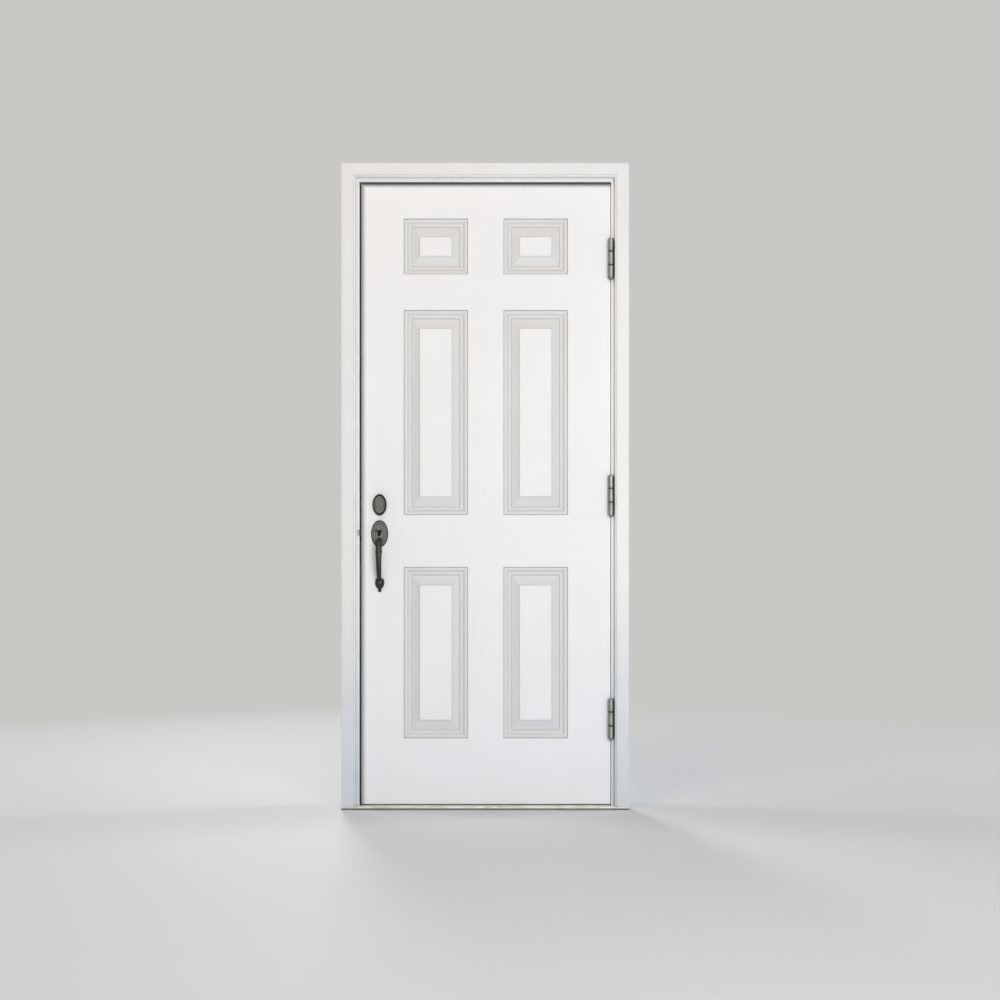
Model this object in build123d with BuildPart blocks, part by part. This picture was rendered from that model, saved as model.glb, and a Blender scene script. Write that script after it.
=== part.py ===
from build123d import *
import os
from math import cos, pi

os.makedirs("parts", exist_ok=True)

# Outswing six-panel entrance door, closed in its frame, in millimetres.
# The outside faces -Y, +X is to the right seen from outside, +Z is up.
# The origin is on the floor, midway between the jambs, level with their outer edges.

# Door leaf and the gaps round it
LEAF_W = 806.45
LEAF_H = 2006.6
LEAF_T = 44.45
LEAF_RECESS = 4.8
SKIN_T = 0.7
LATCH_GAP = 4.75
HINGE_GAP = 1.6
HEAD_GAP = 3.2
SILL_GAP = 3.2

# Frame: jambs with applied stops, and a kerf for the seal between jamb and stop
JAMB_T = 19.05
STOP_H = 12.7
JAMB_D = 115.9
SEAL_GAP = 6.35
KERF_W = 3.2
KERF_D = 10.0
HEAD_HOUSING = 9.5
EASED = 1.5

# Brickmould round the outside
REVEAL = 11.1
MOULD_W = 44.45
MOULD_T = 31.75
MOULD_BEAD_R = 1.5
MOULD_COVE_R = 4.5
MOULD_QUIRK = 1.0
MOULD_ROUND = 3.0
MOULD_LAP = JAMB_T - REVEAL
MOULD_SEAT_W = 14.0
MOULD_RELIEF = 2.0

# Threshold: a metal cap over a solid sill
DECK_H = 9.5
NOSE_OUT = 38.1
CAP_T = 1.8
CAP_LIFT = 3.2
SILL_SETBACK = 1.6
SILL_STOP_H = 15.9
SILL_STOP_W = 20.0
SILL_EDGE_H = 12.7
TREAD_GROOVE_D = 0.6
TREAD_GROOVE_W = 2.4
TREAD_GROOVE_PITCH = 6.0
TREAD_GROOVES = 4

# Seals
SEAL_W = 10.0
SEAL_ROUND = 2.0
SEAL_FREE = 0.3
SEAL_SIDE = 1.0
FIN_T = 2.4
FIN_D = 9.0
BULB_H = 9.0
PAD_H = 32.0
PAD_D = 20.0
PAD_T = 1.2
SWEEP_W = 22.0
SWEEP_END = 11.0
SWEEP_BASE = 1.2
SWEEP_FIN_T = 1.6
SWEEP_FINS = 3

# Raised panels: two columns of three, from the top rail down
STILE_FACE = 138.0
MULLION = 115.0
TOP_RAIL_FACE = 114.3
UPPER_PANEL_H = 180.0
UPPER_RAIL_FACE = 116.0
MIDDLE_PANEL_H = 662.0
LOCK_RAIL_FACE = 168.0
LOWER_PANEL_H = 554.0

# Pressed moulding round each panel, as distances in from its edge and depths
EDGE_RUN = 2.0
EDGE_DEPTH = 3.4
FILLET_RUN = 7.0
OGEE_RUN = 20.0
OGEE_DEPTH = 9.6
OGEE_STEPS = 6
RIDGE_RUN = 24.5
RIDGE_DEPTH = 8.8
GROOVE_RUN = 28.0
GROOVE_DEPTH = 11.8
GROOVE_W = 2.5
BEVEL_TOP_DEPTH = 3.4
FIELD_STEP = 3.0
FIELD_DEPTH = 1.0
FIELD_INSET_X = 53.0
FIELD_INSET_Z = 60.0

# Inside the leaf; the lock block takes the place of a length of the lock stile
STILE_W = 44.0
TOP_RAIL_H = 44.0
BOTTOM_RAIL_H = 60.0
LOCK_BLOCK_W = 124.0
LOCK_BLOCK_UP = 60.0
LOCK_BLOCK_DOWN = 205.0

# Hinges: heights of their middles above the bottom of the leaf
HINGE_HEIGHTS = {"top": 1761.5, "middle": 997.0, "bottom": 277.0}
HINGE_H = 127.0
HINGE_PLATE_T = 4.75
HINGE_PLATE_IN = 38.0
PIN_R = 4.7
PIN_CLEAR = 0.08
PIN_OUT = 10.2
PIN_CAP_R = 7.4
PIN_DOME_H = 3.6
PIN_TIP_H = 6.5
PIN_TIP_SIDE = 2.0
PIN_TIP_R = 4.6
KNUCKLES = 3
KNUCKLE_GAP = 0.4
BEARING_H = 5.0
PLATE_CLEAR = 0.6
MORTISE_CLEAR = 0.2
HINGE_SCREW_ROWS = (-46.0, -16.0, 16.0, 46.0)
HINGE_SCREW_IN = 12.0
HINGE_SCREW_STAGGER = 14.0
FRAME_SCREW_L = 17.5
LEAF_SCREW_L = 32.0
SCREW_R = 2.3
SCREW_HEAD_R = 4.6
SCREW_HEAD_H = 2.4
SCREW_CLEAR = 0.15

# Locks: heights above the bottom of the leaf
BACKSET = 60.3
LATCH_HEIGHT = 877.0
DEADBOLT_HEIGHT = 967.0
CROSS_BORE_R = 19.05
EDGE_BORE_R = 12.7
CASE_CLEAR = 0.35
CASE_REACH = 14.0
FACEPLATE_H = 57.15
FACEPLATE_W = 25.4
FACEPLATE_T = 2.4
FACEPLATE_ROUND = 6.0
FACEPLATE_SCREWS = 20.5
BOLT_CLEAR = 0.3
BOLT_L = 42.0
DEADBOLT_THROW = 25.4
DEADBOLT_W = 12.0
DEADBOLT_H = 19.0
LATCH_THROW = 12.7
LATCH_W = 12.0
LATCH_H = 15.5
LATCH_NOSE = 3.0
HUB_R = 7.0
HUB_CLEAR = 0.3
TAILPIECE_R = 5.0
POST_OFFSET = 15.6
POST_R = 3.2
POST_L = 8.0
THROUGH_SCREW_R = 1.8

# Strikes in the latch jamb
STRIKE_H = 57.15
STRIKE_W = 30.0
STRIKE_T = 1.6
STRIKE_ROUND = 5.0
STRIKE_LIP_W = 20.0
STRIKE_LIP_ROUND = 1.4
POCKET_CLEAR = 2.0
STRIKE_SCREW_L = 12.0

# Deadbolt trim
DEADBOLT_ROSE_W = 45.0
DEADBOLT_ROSE_H = 69.0
DEADBOLT_ROSE_OUT = 14.0
ROSE_WALL = 5.2
ROSE_SLOPE = 3.4
ROSE_EDGE_SHARE = 0.45
ROSE_DISH = 1.4
CYLINDER_R = 13.0
CYLINDER_OUT = 1.2
PLUG_R = 6.4
PLUG_CLEAR = 0.1
KEYWAY_W = 1.8
KEYWAY_H = 8.0
KEYWAY_D = 5.0

# Handleset trim
ESCUTCHEON_W = 55.0
ESCUTCHEON_H = 87.0
ESCUTCHEON_DROP = 3.5
ESCUTCHEON_OUT = 7.0
ESCUTCHEON_STEPS = ((0.0, 3.0), (3.6, 5.2), (8.2, ESCUTCHEON_OUT))
ESCUTCHEON_DISH = 12.5
ESCUTCHEON_DISH_D = 1.3
THUMB_W = 19.0
THUMB_REACH = 34.0
THUMB_L = 26.0
THUMB_T = 2.6
THUMB_DISH = 7.0
THUMB_BAR_W = 5.5
THUMB_BAR_H = 7.0
THUMB_ROOT_W = 8.8
THUMB_TAIL = 11.0
THUMB_HEEL_OUT = 2.0
THUMB_PIVOT_R = 1.5
THUMB_PIVOT_UP = 1.0
THUMB_PIVOT_SEAT = 2.5
THUMB_SLOT_W = 7.5
THUMB_SLOT_H = 15.0
FOOT_BOLT_R = 2.5
FOOT_BOLT_DROP = 168.0
FOOT_BOLT_HEAD_R = 6.5
FOOT_BOLT_HEAD_H = 3.2
FOOT_BOLT_IN = 10.5
FOOT_BOLT_SPARE = 1.0

# Rib under the thumb pad: distance in from the pad's tip, height above the latch's middle
THUMB_RIB = ((23.4, 4.9), (6.5, 4.9), (7.8, -3.5), (15.6, -10.5), (22.1, -8.4))

# Grip, as its middle line outward from the leaf's face and down from the latch,
# with the width and thickness of the section there
GRIP_PATH = (
    (4.0, 26.5, 12.0, 12.5),
    (21.0, 24.5, 14.0, 13.5),
    (35.0, 32.0, 17.5, 13.5),
    (44.0, 52.0, 20.0, 13.0),
    (46.5, 78.0, 18.6, 12.5),
    (43.0, 106.0, 17.0, 11.5),
    (33.0, 132.0, 15.0, 10.5),
    (18.0, 148.0, 13.6, 9.5),
    (6.0, 160.0, 12.0, 9.0),
)
COLLAR_AT = 0.37
COLLAR_SECTION = 3
COLLAR_PROUD = 1.1
COLLAR_H = 3.6
# Acorn foot, as radii and drops below the latch
ACORN = ((11.4, 147.5), (14.2, 155.0), (15.0, 164.5), (12.6, 172.5), (9.2, 177.5))
FINIAL_RING_R = 9.8
FINIAL_RING_H = 2.6
FINIAL_NECK_R = 4.6
FINIAL_NECK_H = 2.2
FINIAL_R = 6.0
FINIAL_TIP_R = 2.4
FINIAL_DROP = 192.0

# Inside trim
ROSE_IN_R = 33.0
ROSE_IN_T = 9.0
KNOB_R = 26.5
KNOB_OUT = 58.0
KNOB_NECK_R = 10.0
KNOB_NECK_L = 15.0
KNOB_WIDEST = 41.0
KNOB_FACE_R = 12.0
KNOB_CLEAR = 0.5
SPINDLE_CLEAR = 1.5
TURN_W = 11.0
TURN_H = 34.0
TURN_OUT = 17.0
TURN_CLEAR = 1.0
TURN_ROOT = 2.0

# Places that follow from the sizes above
X_OPEN = (LEAF_W + LATCH_GAP + HINGE_GAP) / 2
X_STOP = X_OPEN - STOP_H
X_FRAME = X_OPEN + JAMB_T
X_MOULD = X_OPEN + REVEAL
X_MOULD_OUT = X_MOULD + MOULD_W
X_HINGE_EDGE = X_OPEN - HINGE_GAP
X_LATCH_EDGE = LATCH_GAP - X_OPEN
LEAF_X = (X_HINGE_EDGE + X_LATCH_EDGE) / 2
FACE_Y = LEAF_RECESS
BACK_Y = FACE_Y + LEAF_T
MID_Y = (FACE_Y + BACK_Y) / 2
STOP_Y = BACK_Y + SEAL_GAP
SILL_EDGE_Y = JAMB_D
LEAF_Z0 = DECK_H + SILL_GAP
LEAF_Z1 = LEAF_Z0 + LEAF_H
Z_OPEN = LEAF_Z1 + HEAD_GAP
Z_FRAME = Z_OPEN + JAMB_T
Z_MOULD = Z_OPEN + REVEAL
SILL_STOP_Z = DECK_H + SILL_STOP_H
X_SEAL = X_OPEN - SEAL_SIDE - SEAL_W
PIN_X = X_HINGE_EDGE + HINGE_GAP / 2
PIN_Y = -PIN_OUT
BARREL_R = PIN_R + HINGE_PLATE_T
PLATE_END_Y = FACE_Y + HINGE_PLATE_IN
LOCK_X = X_LATCH_EDGE + BACKSET
LATCH_Z = LEAF_Z0 + LATCH_HEIGHT
DEADBOLT_Z = LEAF_Z0 + DEADBOLT_HEIGHT
CASE_R = EDGE_BORE_R - CASE_CLEAR
ESCUTCHEON_Z = LATCH_Z - ESCUTCHEON_DROP


def wall_plane(y):
    """Upright plane across the door at depth y, with its front towards the outside."""
    return Plane.XZ.offset(-y)


def side_plane(x):
    """Upright plane from front to back at x, with its front towards +X."""
    return Plane.YZ.offset(x)


def block(x, y, z, mode=Mode.ADD):
    """Rectangular solid between two ends along each axis."""
    with Locations(((x[0] + x[1]) / 2, (y[0] + y[1]) / 2, (z[0] + z[1]) / 2)):
        Box(abs(x[1] - x[0]), abs(y[1] - y[0]), abs(z[1] - z[0]), mode=mode)


def rod(start, direction, radius, length, mode=Mode.ADD):
    """Round bar from a point along a direction."""
    with Locations(Plane(origin=start, z_dir=direction)):
        Cylinder(radius, length, align=(Align.CENTER, Align.CENTER, Align.MIN), mode=mode)


def screw(start, direction, length, spare=0.0, shank=SCREW_R, mode=Mode.ADD):
    """Countersunk screw, head at the start; with some spare it is the hole for one."""
    head_r = SCREW_HEAD_R + spare
    shank_r = shank + spare
    with Locations(Plane(origin=start, z_dir=direction)):
        Cone(head_r, shank_r, SCREW_HEAD_H, align=(Align.CENTER, Align.CENTER, Align.MIN), mode=mode)
        Cylinder(shank_r, length + spare, align=(Align.CENTER, Align.CENTER, Align.MIN), mode=mode)


def keep(piece, label):
    """Name a finished piece and write it out."""
    piece.part.label = label
    export_step(piece.part, f"parts/{label}.step")


# Frame

HINGE_Z = {name: LEAF_Z0 + height for name, height in HINGE_HEIGHTS.items()}


def hinge_screw_places(side):
    """Screw heads on one plate of every hinge: side 1 is the jamb, -1 the leaf."""
    x = PIN_X + side * HINGE_GAP / 2
    for middle in HINGE_Z.values():
        for row, up in enumerate(HINGE_SCREW_ROWS):
            y = FACE_Y + HINGE_SCREW_IN + HINGE_SCREW_STAGGER * (row % 2)
            yield (x, y, middle + up)


def strike_screw_places(middle):
    for up in (-FACEPLATE_SCREWS, FACEPLATE_SCREWS):
        yield (-X_OPEN, MID_Y, middle + up)


def side_jamb(side):
    """Side jamb with the housing at its top for the head."""
    with BuildPart() as jamb:
        block((side * X_OPEN, side * X_FRAME), (0, JAMB_D), (0, Z_FRAME))
        block(
            (side * X_OPEN, side * (X_OPEN + HEAD_HOUSING)),
            (0, JAMB_D),
            (Z_OPEN, Z_FRAME),
            mode=Mode.SUBTRACT,
        )
    return jamb.part


with BuildPart() as hinge_jamb:
    add(side_jamb(1))
    for middle in HINGE_Z.values():
        half = HINGE_H / 2 + MORTISE_CLEAR
        block(
            (X_OPEN, X_OPEN + HINGE_PLATE_T),
            (0, PLATE_END_Y + MORTISE_CLEAR),
            (middle - half, middle + half),
            mode=Mode.SUBTRACT,
        )
    for place in hinge_screw_places(1):
        screw(place, (1, 0, 0), FRAME_SCREW_L, SCREW_CLEAR, mode=Mode.SUBTRACT)
keep(hinge_jamb, "hinge_jamb")


def strike_outline(grow=0.0):
    """Face of a strike plate, drawn round its middle: depth across, height up."""
    with BuildSketch() as outline:
        RectangleRounded(STRIKE_W + 2 * grow, STRIKE_H + 2 * grow, STRIKE_ROUND)
    return outline.sketch


def pocket_outline(width, height):
    with BuildSketch() as outline:
        Rectangle(width + 2 * POCKET_CLEAR, height + 2 * POCKET_CLEAR)
    return outline.sketch


DEADBOLT_POCKET = pocket_outline(DEADBOLT_W, DEADBOLT_H)
LATCH_POCKET = pocket_outline(LATCH_W, LATCH_H)

with BuildPart() as latch_jamb:
    add(side_jamb(-1))
    for middle, pocket in ((DEADBOLT_Z, DEADBOLT_POCKET), (LATCH_Z, LATCH_POCKET)):
        with BuildSketch(side_plane(-X_OPEN)):
            with Locations((MID_Y, middle)):
                add(strike_outline(MORTISE_CLEAR))
        extrude(amount=-STRIKE_T, mode=Mode.SUBTRACT)
        with BuildSketch(side_plane(-X_OPEN)):
            with Locations((MID_Y, middle)):
                add(pocket)
        extrude(amount=-JAMB_T, mode=Mode.SUBTRACT)
        for place in strike_screw_places(middle):
            screw(place, (-1, 0, 0), STRIKE_SCREW_L, SCREW_CLEAR, mode=Mode.SUBTRACT)
    # The latch strike's lip lies in a shallow recess out to the jamb's edge.
    block(
        (-X_OPEN - STRIKE_T, -X_OPEN),
        (0, MID_Y),
        (LATCH_Z - STRIKE_LIP_W / 2 - MORTISE_CLEAR, LATCH_Z + STRIKE_LIP_W / 2 + MORTISE_CLEAR),
        mode=Mode.SUBTRACT,
    )
keep(latch_jamb, "latch_jamb")

with BuildPart() as head_jamb:
    block((-X_OPEN - HEAD_HOUSING, X_OPEN + HEAD_HOUSING), (0, JAMB_D), (Z_OPEN, Z_FRAME))
keep(head_jamb, "head_jamb")


def stop_profile():
    """Section of a stop: distance in from the jamb, then depth; the kerf is in its corner."""
    with BuildSketch() as profile:
        with BuildLine():
            Polyline(
                (KERF_W, STOP_Y),
                (STOP_H, STOP_Y),
                (STOP_H, JAMB_D),
                (0, JAMB_D),
                (0, STOP_Y + KERF_D),
                (KERF_W, STOP_Y + KERF_D),
                close=True,
            )
        make_face()
        fillet(profile.vertices().sort_by_distance((STOP_H, JAMB_D))[0], EASED)
    return profile.sketch


STOP = stop_profile()

for side, label in ((-1, "latch_stop"), (1, "hinge_stop")):
    with BuildPart() as side_stop:
        with BuildSketch(Plane(origin=(side * X_OPEN, 0, 0), x_dir=(-side, 0, 0), z_dir=(0, 0, -side))):
            add(STOP)
        extrude(amount=-side * Z_OPEN)
    keep(side_stop, label)

with BuildPart() as head_stop:
    with BuildSketch(Plane(origin=(0, 0, Z_OPEN), x_dir=(0, 0, -1), z_dir=(1, 0, 0))):
        add(STOP)
    extrude(amount=X_STOP, both=True)
keep(head_stop, "head_stop")


def mould_profile():
    """Section of the brickmould: distance out from the opening, then thickness."""
    cove_start = MOULD_T - MOULD_QUIRK - MOULD_COVE_R
    flat_start = MOULD_BEAD_R + MOULD_COVE_R
    with BuildSketch() as profile:
        with BuildLine():
            Line((0, 0), (0, cove_start - MOULD_BEAD_R))
            CenterArc((MOULD_BEAD_R, cove_start - MOULD_BEAD_R), MOULD_BEAD_R, 180, -90)
            CenterArc((MOULD_BEAD_R, MOULD_T - MOULD_QUIRK), MOULD_COVE_R, -90, 90)
            Line((flat_start, MOULD_T - MOULD_QUIRK), (flat_start, MOULD_T))
            Line((flat_start, MOULD_T), (MOULD_W - MOULD_ROUND, MOULD_T))
            CenterArc((MOULD_W - MOULD_ROUND, MOULD_T - MOULD_ROUND), MOULD_ROUND, 90, -90)
            Line((MOULD_W, MOULD_T - MOULD_ROUND), (MOULD_W, 0))
            # The back is relieved between the strip on the wall and the lap on the jamb.
            Polyline(
                (MOULD_W, 0),
                (MOULD_W - MOULD_SEAT_W, 0),
                (MOULD_W - MOULD_SEAT_W, MOULD_RELIEF),
                (MOULD_LAP, MOULD_RELIEF),
                (MOULD_LAP, 0),
                (0, 0),
            )
        make_face()
    return profile.sketch


MOULD = mould_profile()
MITRES = [Plane(origin=(side * X_MOULD, 0, Z_MOULD), z_dir=(-side, 0, 1)) for side in (-1, 1)]

for side, label in ((-1, "latch_side_brickmould"), (1, "hinge_side_brickmould")):
    with BuildPart() as mould_leg:
        leg_foot = Plane(origin=(side * X_MOULD, 0, DECK_H), x_dir=(side, 0, 0), z_dir=(0, 0, -side))
        with BuildSketch(leg_foot):
            add(MOULD)
        extrude(amount=-side * (Z_MOULD + MOULD_W - DECK_H))
        split(bisect_by=MITRES[0 if side < 0 else 1], keep=Keep.BOTTOM)
    keep(mould_leg, label)

with BuildPart() as head_brickmould:
    with BuildSketch(Plane(origin=(0, 0, Z_MOULD), x_dir=(0, 0, 1), z_dir=(1, 0, 0))):
        add(MOULD)
    extrude(amount=X_MOULD_OUT, both=True)
    for mitre in MITRES:
        split(bisect_by=mitre, keep=Keep.TOP)
keep(head_brickmould, "head_brickmould")

# Threshold


def threshold_outline(inset):
    """Section of the threshold from its nose to its inner edge, stepped in by an inset."""
    top = SILL_STOP_Z - inset
    inner = SILL_EDGE_H - inset
    return (
        (-NOSE_OUT + inset, CAP_LIFT),
        (-NOSE_OUT + inset, DECK_H - inset),
        (STOP_Y + inset, DECK_H - inset),
        (STOP_Y + inset, top),
        (STOP_Y + SILL_STOP_W - inset / 2, top),
        (SILL_EDGE_Y - inset, inner),
        (SILL_EDGE_Y - inset, CAP_LIFT),
    )


def cope_to_jambs():
    """Cut the running part's ends to fit between the jambs and round their stops."""
    for side in (-1, 1):
        block((side * X_OPEN, side * X_MOULD_OUT), (0, JAMB_D), (0, SILL_STOP_Z), mode=Mode.SUBTRACT)
        block((side * X_STOP, side * X_OPEN), (STOP_Y, JAMB_D), (0, SILL_STOP_Z), mode=Mode.SUBTRACT)


with BuildPart() as threshold_cap:
    with BuildSketch(side_plane(0)) as cap_section:
        with BuildLine():
            Polyline(*threshold_outline(0), close=True)
        make_face()
        nose_top = cap_section.vertices().sort_by_distance((-NOSE_OUT, DECK_H))[0]
        fillet(nose_top, EASED)
        fillet(cap_section.vertices().group_by(Axis.Y)[-1], EASED)
        with BuildLine():
            Polyline(*threshold_outline(CAP_T), close=True)
        make_face(mode=Mode.SUBTRACT)
        # Shallow grooves along the tread outside the leaf
        for groove in range(1, TREAD_GROOVES + 1):
            with Locations((-NOSE_OUT + TREAD_GROOVE_PITCH * groove, DECK_H)):
                Rectangle(TREAD_GROOVE_W, 2 * TREAD_GROOVE_D, mode=Mode.SUBTRACT)
    extrude(amount=X_MOULD_OUT, both=True)
    cope_to_jambs()
keep(threshold_cap, "threshold_cap")

with BuildPart() as sill:
    with BuildSketch(side_plane(0)):
        with BuildLine():
            Polyline(*threshold_outline(CAP_T), close=True)
        make_face()
        with Locations((-NOSE_OUT + CAP_T + SILL_SETBACK, 0)):
            Rectangle(
                NOSE_OUT + SILL_EDGE_Y - 2 * CAP_T - SILL_SETBACK,
                CAP_LIFT,
                align=(Align.MIN, Align.MIN),
            )
    extrude(amount=X_MOULD_OUT, both=True)
    cope_to_jambs()
keep(sill, "sill")

with BuildPart() as threshold_seal:
    with BuildSketch(side_plane(0)):
        with Locations((STOP_Y, DECK_H + SILL_STOP_H / 2)):
            Ellipse(SEAL_GAP - SEAL_FREE, BULB_H / 2)
            Rectangle(2 * SEAL_GAP, BULB_H, align=(Align.MIN, Align.CENTER), mode=Mode.SUBTRACT)
    extrude(amount=X_SEAL - SEAL_FREE, both=True)
keep(threshold_seal, "threshold_seal")

# Kerf seals on the stops


def seal_profile():
    """Section of a kerf seal: distance in from the rebate, then depth from the leaf's back."""
    with BuildSketch() as profile:
        with Locations((SEAL_SIDE + SEAL_W / 2, (SEAL_GAP + SEAL_FREE) / 2)):
            RectangleRounded(SEAL_W, SEAL_GAP - SEAL_FREE, SEAL_ROUND)
        with Locations((KERF_W / 2, SEAL_GAP - SEAL_FREE)):
            Rectangle(FIN_T, FIN_D + SEAL_FREE, align=(Align.CENTER, Align.MIN))
    return profile.sketch


SEAL = seal_profile()

for side, label in ((-1, "latch_side_seal"), (1, "hinge_side_seal")):
    with BuildPart() as side_seal:
        corner = Plane(origin=(side * X_OPEN, BACK_Y, 0), x_dir=(-side, 0, 0), z_dir=(0, 0, -side))
        with BuildSketch(corner.offset(-side * (DECK_H + SEAL_FREE))):
            add(SEAL)
        extrude(amount=-side * (Z_OPEN - DECK_H - 2 * SEAL_FREE))
    keep(side_seal, label)

with BuildPart() as head_seal:
    with BuildSketch(Plane(origin=(0, BACK_Y, Z_OPEN), x_dir=(0, 0, -1), z_dir=(1, 0, 0))):
        add(SEAL)
    extrude(amount=X_SEAL - SEAL_FREE, both=True)
    # The fin stops short of the side stops.
    for side in (-1, 1):
        block(
            (side * (X_STOP - SEAL_FREE), side * X_OPEN),
            (STOP_Y, JAMB_D),
            (Z_OPEN - KERF_W, Z_OPEN),
            mode=Mode.SUBTRACT,
        )
keep(head_seal, "head_seal")

with BuildPart() as corner_pads:
    for side in (-1, 1):
        block(
            (side * (X_OPEN - PAD_T), side * X_OPEN),
            (BACK_Y - PAD_D, BACK_Y),
            (DECK_H, DECK_H + PAD_H),
        )
keep(corner_pads, "corner_pads")

# Door leaf

PANEL_W = (LEAF_W - 2 * STILE_FACE - MULLION) / 2
PANEL_COLUMNS = [LEAF_X + side * (MULLION + PANEL_W) / 2 for side in (-1, 1)]


def panel_rows():
    """Middle height and height of the panel in each row, from the top down."""
    top = LEAF_Z1 - TOP_RAIL_FACE
    for height, rail in (
        (UPPER_PANEL_H, UPPER_RAIL_FACE),
        (MIDDLE_PANEL_H, LOCK_RAIL_FACE),
        (LOWER_PANEL_H, 0),
    ):
        yield top - height / 2, height
        top -= height + rail


def moulding_steps():
    """Insets at the sides, insets at top and bottom, and depths, from the edge to the field."""
    steps = [(0, -1), (0, 0), (EDGE_RUN, EDGE_DEPTH), (FILLET_RUN, EDGE_DEPTH)]
    for step in range(1, OGEE_STEPS + 1):
        along = step / OGEE_STEPS
        run = FILLET_RUN + (OGEE_RUN - FILLET_RUN) * along
        depth = EDGE_DEPTH + (OGEE_DEPTH - EDGE_DEPTH) * (1 - cos(pi * along)) / 2
        steps.append((run, depth))
    steps += [(RIDGE_RUN, RIDGE_DEPTH), (GROOVE_RUN, GROOVE_DEPTH), (GROOVE_RUN + GROOVE_W, GROOVE_DEPTH)]
    moulding = [(run, run, depth) for run, depth in steps]
    bevel = [
        (FIELD_INSET_X - FIELD_STEP, FIELD_INSET_Z - FIELD_STEP, BEVEL_TOP_DEPTH),
        (FIELD_INSET_X, FIELD_INSET_Z, FIELD_DEPTH),
    ]
    return moulding + bevel


def panel_hollow(height):
    """Hollow of one panel as a solid, about its middle, with the door's face at zero depth."""
    sections = []
    for inset_x, inset_z, depth in moulding_steps():
        with BuildSketch(wall_plane(depth)) as outline:
            Rectangle(PANEL_W - 2 * inset_x, height - 2 * inset_z)
        sections.append(outline.sketch.face())
    with BuildPart() as hollow:
        loft(sections=sections, ruled=True)
    return hollow.part


def six_panels(pieces, y):
    """Copies of one piece for each row, in both columns, with the door's face at depth y."""
    for piece, (z, height) in zip(pieces, panel_rows()):
        for x in PANEL_COLUMNS:
            yield piece.moved(Location((x, y, z)))


HOLLOWS = [panel_hollow(height) for z, height in panel_rows()]
PANS = [hollow.moved(Location((0, SKIN_T, 0))) - hollow for hollow in HOLLOWS]


def cut_lock_bores():
    """Cross bores, edge bores and faceplate recesses, and the hole for the grip's foot bolt."""
    for middle in (LATCH_Z, DEADBOLT_Z):
        rod((LOCK_X, FACE_Y, middle), (0, 1, 0), CROSS_BORE_R, LEAF_T, mode=Mode.SUBTRACT)
        rod((X_LATCH_EDGE, MID_Y, middle), (1, 0, 0), EDGE_BORE_R, BACKSET + CASE_REACH, mode=Mode.SUBTRACT)
    rod(
        (LOCK_X, FACE_Y, LATCH_Z - FOOT_BOLT_DROP),
        (0, 1, 0),
        FOOT_BOLT_R + SCREW_CLEAR,
        LEAF_T,
        mode=Mode.SUBTRACT,
    )


def cut_hinge_mortises():
    """Seats for the leaf-side hinge plates, open to the face."""
    for middle in HINGE_Z.values():
        half = HINGE_H / 2 + MORTISE_CLEAR
        block(
            (X_HINGE_EDGE - HINGE_PLATE_T, X_HINGE_EDGE),
            (FACE_Y, PLATE_END_Y + MORTISE_CLEAR),
            (middle - half, middle + half),
            mode=Mode.SUBTRACT,
        )


with BuildPart() as pressed_skin:
    with BuildSketch(wall_plane(FACE_Y)):
        with Locations((LEAF_X, (LEAF_Z0 + LEAF_Z1) / 2)):
            Rectangle(LEAF_W, LEAF_H)
        for z, height in panel_rows():
            with Locations(*[(x, z) for x in PANEL_COLUMNS]):
                Rectangle(PANEL_W, height, mode=Mode.SUBTRACT)
    extrude(amount=-SKIN_T)
    add(six_panels(PANS, FACE_Y))
    cut_lock_bores()

with BuildPart() as exterior_skin:
    add(pressed_skin.part)
    cut_hinge_mortises()
keep(exterior_skin, "exterior_skin")

with BuildPart() as interior_skin:
    mirror(pressed_skin.part, about=wall_plane(MID_Y))
keep(interior_skin, "interior_skin")

CORE_Y = (FACE_Y + SKIN_T, BACK_Y - SKIN_T)
CORE_X = (X_LATCH_EDGE + STILE_W, X_HINGE_EDGE - STILE_W)
CORE_Z = (LEAF_Z0 + BOTTOM_RAIL_H, LEAF_Z1 - TOP_RAIL_H)
LOCK_BLOCK_X = (X_LATCH_EDGE, X_LATCH_EDGE + LOCK_BLOCK_W)
LOCK_BLOCK_Z = (LATCH_Z - LOCK_BLOCK_DOWN, DEADBOLT_Z + LOCK_BLOCK_UP)

with BuildPart() as foam_core:
    block(CORE_X, CORE_Y, CORE_Z)
    for hollow in six_panels(HOLLOWS, CORE_Y[0]):
        add([hollow, hollow.mirror(wall_plane(MID_Y))], mode=Mode.SUBTRACT)
    block(LOCK_BLOCK_X, CORE_Y, LOCK_BLOCK_Z, mode=Mode.SUBTRACT)
keep(foam_core, "foam_core")

with BuildPart() as hinge_stile:
    block((CORE_X[1], X_HINGE_EDGE), CORE_Y, (LEAF_Z0, LEAF_Z1))
    cut_hinge_mortises()
    for place in hinge_screw_places(-1):
        screw(place, (-1, 0, 0), LEAF_SCREW_L, SCREW_CLEAR, mode=Mode.SUBTRACT)
keep(hinge_stile, "hinge_stile")

with BuildPart() as lock_stile:
    for ends in ((LEAF_Z0, LOCK_BLOCK_Z[0]), (LOCK_BLOCK_Z[1], LEAF_Z1)):
        block((X_LATCH_EDGE, CORE_X[0]), CORE_Y, ends)
keep(lock_stile, "lock_stile")

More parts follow.
